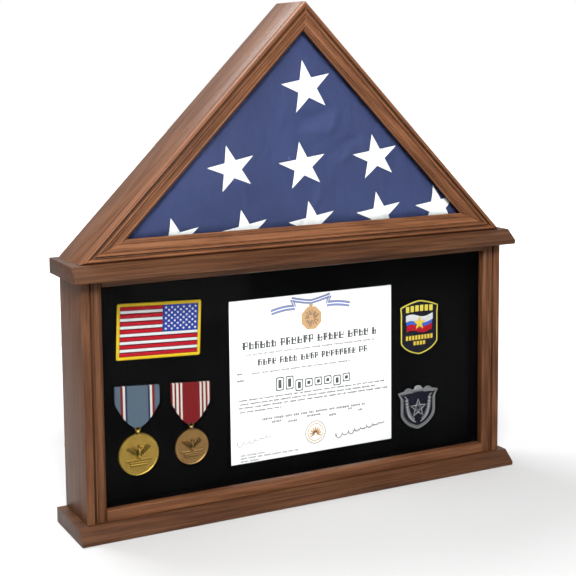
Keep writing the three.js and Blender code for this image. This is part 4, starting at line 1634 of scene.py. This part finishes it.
def badge_leaves(sign, stem, depth, material):
    """Pairs of pointed leaves up one branch."""
    found = []
    for i in range(2, len(stem)):
        x, z = stem[i]
        for out in (-1, 1):
            lean = math.radians(90 - sign * 10 + out * 42)
            tip = (x + LEAF_LONG * math.cos(lean), z + LEAF_LONG * math.sin(lean))
            if tip[1] > LEAF_TOP:
                continue
            waist = ((x + tip[0]) / 2, (z + tip[1]) / 2)
            leaf = streamer([(x, z), waist, tip], 0.2)
            bulge = Vector((-(tip[1] - z), tip[0] - x)).normalized() * LEAF_BULGE
            leaf[1] = (waist[0] - bulge.x, waist[1] - bulge.y)
            leaf[4] = (waist[0] + bulge.x, waist[1] + bulge.y)
            found.append(cushioned(
                f"leaf_{sign}_{i}_{out}", on_badge(leaf), depth - 0.55 * MM, depth + 0.2 * MM,
                0.15 * MM, material,
            ))
    return found


class SilverBadgeOperator(bpy.types.Operator):
    """The silver badge: a corded shield with a scalloped crest, laurel branches and a plain star"""

    bl_idname = "flag_case.silver_badge"
    bl_label = "Silver badge"

    def execute(self, context):
        front, back = patch_depths("silver_badge")
        x, z = BADGE[0], BADGE[1]
        depth = front + 0.9 * MM
        grey = colours().thread_silver
        silver = thread("badge_thread", grey, (x, 0, z), math.radians(30), 360.0)
        pale = thread("pale_silver_thread", dyed(grey, 2.0), (x, 0, z), math.radians(-30), 420.0)
        edge, inner_edge = shield_points(*BADGE, inset=1.8 * MM), shield_points(*BADGE, inset=4.6 * MM)
        half_cord = 0.5 * MM
        pieces = [
            cushioned(
                "badge_ground", shield_points(*BADGE, inset=2 * MM), depth, back - 0.1 * MM,
                0.2 * MM, twill("badge_twill", (0.008, 0.008, 0.014)),
            ),
            border_cord("badge_border", edge, 1.6 * MM, front, back, silver),
            border_cord(
                "badge_inner_cord", inner_edge, 0.35 * MM, depth - half_cord, depth + half_cord, pale
            ),
        ]
        for i, (offset, rise, radius) in enumerate(SCALLOPS):
            dome = arc((offset, rise), radius, -0.35, math.pi + 0.35, 14, SCALLOP_SQUASH)
            material = pale if i == 0 else silver
            pieces.append(cushioned(
                f"crest_{i}", on_badge(dome), front + 0.1 * MM, back - 0.2 * MM, 0.6 * MM, material
            ))
            for j in range(3):
                reach = radius * (0.35 + 0.22 * j)
                ridge = on_badge(arc((offset, rise), reach, 0.25, math.pi - 0.25, 8, SCALLOP_SQUASH))
                name = f"crest_line_{i}_{j}"
                pieces.append(badge_wire(name, ridge, front + 0.12 * MM, 0.28 * MM, silver, sides=1))
        for sign in (-1, 1):
            stem = [(sign * 4, 11.5)] + bend((sign * 4, 11.5), (sign * 19, 15), (sign * 20, 49), 12)
            name = f"laurel_stem_{sign}"
            pieces.append(badge_wire(name, on_badge(stem), depth, 0.7 * MM, pale, sides=2))
            pieces += badge_leaves(sign, stem, depth, pale)
        raised = depth - 0.2 * MM
        star = star_outline((x, z + 32 * MM), 13.5 * MM, 0.0, 0.42)
        pieces.append(badge_wire("badge_star", star, raised, 0.95 * MM, pale, closed=True, sides=2))
        for reach in (3.3, 5.28):
            ring = whole_circle((x, z + 32.6 * MM), reach * MM, 20)
            name = f"badge_ring_{reach:g}"
            pieces.append(badge_wire(name, ring, raised, 0.6 * MM, silver, closed=True, sides=2))
        badge = joined("embroidered_silver_badge", pieces)
        finished(badge, "lower_back", None, ["silver_badge"])
        return {"FINISHED"}


# ------------------------------------------------------------------ medals
# height and width of the top edge, height where the sides draw in, half width at the ring (mm)
MEDALS = {
    "left": {"top": 176.5, "width": 62.0, "shoulder": 153.0, "hem": 6.0, "stripes": "grey"},
    "right": {"top": 171.5, "width": 56.6, "shoulder": 146.0, "hem": 7.5, "stripes": "red"},
}
RIBBON_LEAN = -0.07
RIBBON_FOLD = 1.25 * MM
RIBBON_CLOTH = 0.7 * MM
HEM_STEPS = 8
DISC_THICK = 2.6 * MM
BALL_RADIUS = 3 * MM


def stripe_colours(kind):
    grey, navy = (0.062, 0.090, 0.125), (0.006, 0.008, 0.045)
    red, white = (0.125, 0.001, 0.003), (0.50, 0.49, 0.45)
    if kind == "grey":
        return [
            (0.0, grey), (0.115, red), (0.170, white), (0.220, navy), (0.262, grey),
            (0.738, navy), (0.780, white), (0.830, red), (0.885, grey),
        ]
    return [
        (0.0, red), (0.030, white), (0.075, red), (0.125, white), (0.180, red), (0.230, white),
        (0.275, red), (0.725, white), (0.770, red), (0.820, white), (0.875, red), (0.925, white),
        (0.970, red),
    ]


def ribbon_sides(medal, centre_x, hem_z):
    """Points up each side of the ribbon, from the hem to the top corner."""
    half = medal["width"] / 2 * MM
    found = []
    for sign in (-1, 1):
        drop = sign * half * RIBBON_LEAN
        hem = (centre_x + sign * medal["hem"] * MM, hem_z)
        shoulder = (centre_x + sign * half, medal["shoulder"] * MM + drop)
        side = [hem] + bend(hem, (centre_x + sign * half * 0.62, hem_z + 7 * MM), shoulder, 16)
        top = medal["top"] * MM + drop
        side += [(shoulder[0], shoulder[1] + (top - shoulder[1]) * i / 10) for i in range(1, 11)]
        found.append(side)
    return found


def medal_ribbon(name, medal):
    """A ribbon that comes down behind, passes through the ring and goes up in front."""
    node = f"medal_{name}_ribbon"
    ring = middle_of(f"medal_{name}_ring")
    ring_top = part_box(f"medal_{name}_ring")[1].z - 0.7 * MM
    depth = middle_of(node).y
    left, right = ribbon_sides(medal, ring.x, ring_top)
    path = [(row, RIBBON_FOLD) for row in reversed(range(len(left)))]
    path += [("hem", i) for i in range(1, HEM_STEPS)]
    path += [(row, -RIBBON_FOLD) for row in range(len(left))]
    cloth = new_primitive(
        bpy.ops.mesh.primitive_grid_add, f"ribbon_{name}",
        x_subdivisions=20, y_subdivisions=len(path) - 1, size=1,
    )
    for vertex in cloth.data.vertices:
        share = vertex.co.x + 0.5
        row, offset = path[round((vertex.co.y + 0.5) * (len(path) - 1))]
        if row == "hem":
            angle = math.pi * offset / HEM_STEPS
            lift = -RIBBON_FOLD * math.sin(angle)
            y = RIBBON_FOLD * math.cos(angle)
            a, b = left[0], right[0]
        else:
            lift, y = 0.0, offset
            a, b = left[row], right[row]
        x = a[0] + (b[0] - a[0]) * share
        z = a[1] + (b[1] - a[1]) * share + lift
        ripple = noise.noise(Vector((x, y, z)) * 60) * 0.22 * MM
        vertex.co = (x, depth + y + ripple, z)
    recalculate(cloth)
    apply_modifier(cloth, "SOLIDIFY", thickness=RIBBON_CLOTH, offset=0)
    material = ribbon_cloth(
        f"ribbon_{medal['stripes']}", (ring.x, 0, 0), 0.0, medal["width"] * MM,
        stripe_colours(medal["stripes"]),
    )
    finished(cloth, "lower_back", material, [node])


def blob(name, place, radii, turn=0.0):
    """A rounded lump of relief, turned to the left."""
    return new_primitive(
        bpy.ops.mesh.primitive_uv_sphere_add, name, segments=20, ring_count=12, radius=1,
        location=place, rotation=(0, -turn, 0), scale=radii,
    )


# bars under the bird: height and half length, as shares of the face
BARS = [(-0.32, 0.70), (-0.45, 0.50), (-0.57, 0.46)]


def struck_bird(middle, face, scale):
    """A bird with raised wings over three bars, in low relief on the face of a medal."""
    def spot(u, v, up=0.0):
        return (middle.x + u * scale, face - up * scale, middle.z + v * scale)

    deep = 0.135 * scale
    pieces = [
        blob("bird_body", spot(0, 0.12), (0.085 * scale, deep * 1.5, 0.22 * scale)),
        blob("bird_head", spot(0.02, 0.40), (0.065 * scale, deep * 1.4, 0.075 * scale)),
        blob("bird_beak", spot(0.09, 0.41), (0.05 * scale, deep, 0.022 * scale)),
        blob("bird_tail", spot(0, -0.16), (0.075 * scale, deep, 0.13 * scale)),
    ]
    for side in (-1, 1):
        pieces.append(blob(
            f"bird_shoulder_{side}", spot(side * 0.17, 0.27), (0.20 * scale, deep * 1.2, 0.045 * scale),
            side * math.radians(38)))
        for i in range(6):
            lean = math.radians(-90 + side * (4 + 7 * i))
            start = Vector((side * (0.12 + 0.070 * i), 0.26 + 0.045 * i))
            long = 0.40 - 0.02 * i
            centre = start + Vector((math.cos(lean), math.sin(lean))) * long / 2
            pieces.append(blob(
                f"feather_{side}_{i}", spot(centre.x, centre.y),
                (long / 2 * scale, deep, 0.027 * scale), lean))
        pieces.append(blob(
            f"leg_{side}", spot(side * 0.06, -0.22), (0.03 * scale, deep, 0.09 * scale), side * 0.15))
    for i, (level, half) in enumerate(BARS):
        pieces.append(new_primitive(
            bpy.ops.mesh.primitive_cylinder_add, f"bar_{i}", vertices=12, radius=0.062 * scale,
            depth=2 * half * scale, location=spot(0.0, level, 0.02), rotation=(0, math.pi / 2, 0),
        ))
    return pieces


def struck_disc(name, beads):
    """A struck disc: a raised rim with beads, the bird, a neck and the ball that hangs on the ring."""
    node = f"medal_{name}_disc"
    low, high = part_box(node)
    radius = (high.x - low.x) / 2
    middle = Vector(((low.x + high.x) / 2, (low.y + high.y) / 2, low.z + radius))
    ball = Vector((middle.x, middle.y, high.z - BALL_RADIUS))
    disc = new_primitive(
        bpy.ops.mesh.primitive_cylinder_add, node.replace("medal", "struck"), vertices=96, radius=radius,
        depth=DISC_THICK, location=middle, rotation=(math.pi / 2, 0, 0),
    )
    apply_place(disc)
    for side in (-1, 1):
        editing(disc)
        choose("FACE", lambda face: face.normal.y * side > 0.9)
        bpy.ops.mesh.inset(thickness=radius * 0.055)
        bpy.ops.transform.translate(value=(0, -side * 0.75 * MM, 0))
        object_mode()
    face = middle.y - DISC_THICK / 2 + 0.65 * MM
    pieces = [
        new_primitive(
            bpy.ops.mesh.primitive_uv_sphere_add, "ball", segments=24, ring_count=16,
            radius=BALL_RADIUS, location=ball),
        new_primitive(
            bpy.ops.mesh.primitive_cylinder_add, "neck", vertices=16, radius=2.2 * MM, depth=5 * MM,
            location=(middle.x, middle.y, middle.z + radius + 0.3 * MM)),
    ]
    pieces += struck_bird(middle + Vector((0, 0, 0.02 * radius)), face, radius * 0.92)
    for i in range(beads):
        angle = 2 * math.pi * i / beads
        reach = radius * 0.87
        pieces.append(new_primitive(
            bpy.ops.mesh.primitive_ico_sphere_add, f"bead_{i}", subdivisions=2, radius=sizes().bead,
            location=(middle.x + reach * math.cos(angle), face, middle.z + reach * math.sin(angle))))
    disc = joined(node.replace("medal", "struck"), [*pieces, disc])
    apply_place(disc)
    disc.data.remesh_voxel_size = sizes().relief_grid
    only(disc)
    bpy.ops.object.voxel_remesh()
    apply_modifier(disc, "SMOOTH", factor=0.5, iterations=1)
    ring_hole = merged_copy(f"medal_{name}_ring", "ring_hole")
    editing(ring_hole)
    bpy.ops.transform.shrink_fatten(value=0.35 * MM)
    object_mode()
    apply_modifier(disc, "BOOLEAN", object=ring_hole, operation="DIFFERENCE", solver="EXACT")
    remove(ring_hole)
    return disc


class MedalsOperator(bpy.types.Operator):
    """The two medals: striped ribbons, rings and struck discs"""

    bl_idname = "flag_case.medals"
    bl_label = "Medals"

    def execute(self, context):
        own = colours()
        metals = {
            "left": metal("struck_gold", own.medal_gold, (0.060, 0.026, 0.008), 0.36, hollow=1.0),
            "right": metal("struck_bronze", own.medal_bronze, (0.035, 0.014, 0.008), 0.40, hollow=1.0),
        }
        for name, medal in MEDALS.items():
            medal_ribbon(name, medal)
            ring = merged_copy(f"medal_{name}_ring", f"wire_ring_{name}")
            apply_modifier(ring, "SUBSURF", levels=1, render_levels=1)
            finished(ring, "lower_back", metals[name], [f"medal_{name}_ring"])
            disc = struck_disc(name, 64 if name == "left" else 56)
            finished(
                disc, f"medal_{name}", metals[name], [f"medal_{name}_disc"], math.radians(50))
        return {"FINISHED"}


# ------------------------------------------------------------------ stage
# the camera's place, and its angles in radians: to the right, down, and about its own axis
CAMERA_PLACE = Vector((-799.8, -1507.6, 605.8)) * MM
CAMERA_YAW = 0.4811
CAMERA_PITCH = 0.1175
CAMERA_ROLL = -0.0091
CAMERA_LENS = 78.5
CAMERA_SHIFT = -0.1424


def looking(yaw, pitch, roll, place):
    """The camera's matrix: yaw to the right of +Y, pitch down, roll about its own axis."""
    ahead = Vector((
        math.sin(yaw) * math.cos(pitch), math.cos(yaw) * math.cos(pitch), -math.sin(pitch),
    ))
    level = Vector((math.cos(yaw), -math.sin(yaw), 0))
    up = level.cross(ahead)
    right = level * math.cos(roll) + up * math.sin(roll)
    top = up * math.cos(roll) - level * math.sin(roll)
    turned = Matrix((right, top, -ahead)).transposed()
    return Matrix.Translation(place) @ turned.to_4x4()


# each lamp: name, place, what it points at, width and height (m), watts and tint
LAMPS = [
    ("key_light", (-1.15, -2.3, 2.15), (0, 0, 0.35), (1.1, 0.9), 165, (1.0, 0.99, 0.97)),
    ("fill_light", (0.2, -3.0, 0.9), (0, 0, 0.3), (1.6, 1.4), 20),
    ("top_light", (-0.4, 1.2, 2.4), (0, 0, 0.3), (1.3, 0.9), 62),
]


def soft_lamp(name, place, aim, size, power, tint=(1, 1, 1)):
    lamp = bpy.data.lights.new(name, "AREA")
    lamp.shape = "RECTANGLE"
    lamp.size, lamp.size_y = size
    lamp.energy = power
    lamp.color = tint
    stand = bpy.data.objects.new(name, lamp)
    stand.location = place
    stand.rotation_euler = (Vector(aim) - Vector(place)).to_track_quat("-Z", "Y").to_euler()
    bpy.context.collection.objects.link(stand)


@material_once
def pale_floor(s):
    """Matt pale paint, which fades into the white of the room further away."""
    vector = s.place()
    cloud = s.noise(vector, 3, 2.0)
    away = s.add("ShaderNodeVectorMath", {0: vector}, operation="LENGTH").outputs["Value"]
    seen = s.add("ShaderNodeLightPath").outputs["Is Camera Ray"]
    return {
        "Base Color": s.mix(cloud, (0.44, 0.44, 0.445), (0.47, 0.47, 0.475)),
        "Roughness": s.range(cloud, 0, 1, 0.85, 0.95),
        "Specular IOR Level": 0.1,
        "Emission Color": (1, 1, 1, 1),
        "Emission Strength": s.times(seen, s.range(away, 0.45, 1.7, 0.10, 1.0)),
    }


def pale_studio():
    """A white room, darker in front on the right, so that the glass and the varnish stay clear."""
    world = bpy.data.worlds.new("pale_studio")
    world.use_nodes = True
    s = Shades(world.node_tree)
    around = s.add("ShaderNodeTexCoord").outputs["Generated"]
    forward = s.dot(around, (0.45, -0.88, -0.15))
    seen = s.add("ShaderNodeLightPath").outputs["Is Camera Ray"]
    background = world.node_tree.nodes["Background"]
    background.inputs["Color"].default_value = (1.0, 1.0, 1.0, 1)
    strength = s.math("MAXIMUM", seen, s.range(forward, 0.0, 0.9, 0.62, 0.22))
    s.tree.links.new(strength, background.inputs["Strength"])
    return world


class StageOperator(bpy.types.Operator):
    """Pale floor, soft light and the camera"""

    bl_idname = "flag_case.stage"
    bl_label = "Stage"

    def execute(self, context):
        scene = context.scene
        scene.view_settings.view_transform = "Standard"
        floor = new_primitive(
            bpy.ops.mesh.primitive_circle_add, "pale_floor", vertices=96, radius=9, fill_type="NGON",
            location=(0, 0, UNDERSIDE - 0.2 * MM),
        )
        floor.data.materials.append(pale_floor("pale_floor"))

        scene.world = pale_studio()
        for lamp in LAMPS:
            soft_lamp(*lamp)

        camera = bpy.data.cameras.new("camera")
        camera.lens = CAMERA_LENS
        camera.sensor_width = 36
        camera.shift_y = CAMERA_SHIFT
        camera.clip_start = 0.05
        stand = bpy.data.objects.new("camera", camera)
        bpy.context.collection.objects.link(stand)
        stand.matrix_world = looking(CAMERA_YAW, CAMERA_PITCH, CAMERA_ROLL, CAMERA_PLACE)
        scene.camera = stand
        return {"FINISHED"}


# ------------------------------------------------------------------ add-on
OPERATORS = (
    StageOperator, BoardsOperator, SlopeBoardsOperator, MouldingsOperator, LiningOperator, BacksOperator,
    HardwareOperator, CertificateOperator, FlagPatchOperator, ShieldPatchOperator, SilverBadgeOperator,
    MedalsOperator, FoldedFlagOperator, GlassOperator,
)


class FlagCasePanel(bpy.types.Panel):
    """Lists the pieces of the flag case, with their sizes and colours"""

    bl_label = "Flag Case"
    bl_idname = "VIEW3D_PT_flag_case"
    bl_space_type = "VIEW_3D"
    bl_region_type = "UI"
    bl_category = "Flag Case"

    def draw(self, context):
        for operator in OPERATORS:
            self.layout.operator(operator.bl_idname)
        for settings in (context.scene.flag_case_sizes, context.scene.flag_case_colours):
            box = self.layout.box()
            for name in settings.__annotations__:
                box.prop(settings, name)


CLASSES = (FlagCaseSizes, FlagCaseColours, *OPERATORS, FlagCasePanel)


def register():
    for part in CLASSES:
        bpy.utils.register_class(part)
    bpy.types.Scene.flag_case_sizes = bpy.props.PointerProperty(type=FlagCaseSizes)
    bpy.types.Scene.flag_case_colours = bpy.props.PointerProperty(type=FlagCaseColours)


def unregister():
    del bpy.types.Scene.flag_case_colours
    del bpy.types.Scene.flag_case_sizes
    for part in reversed(CLASSES):
        bpy.utils.unregister_class(part)


def main():
    register()
    for operator in OPERATORS:
        group, name = operator.bl_idname.split(".")
        getattr(getattr(bpy.ops, group), name)()
    object_mode()
    bpy.ops.object.select_all(action="DESELECT")


if __name__ == "__main__":
    main()
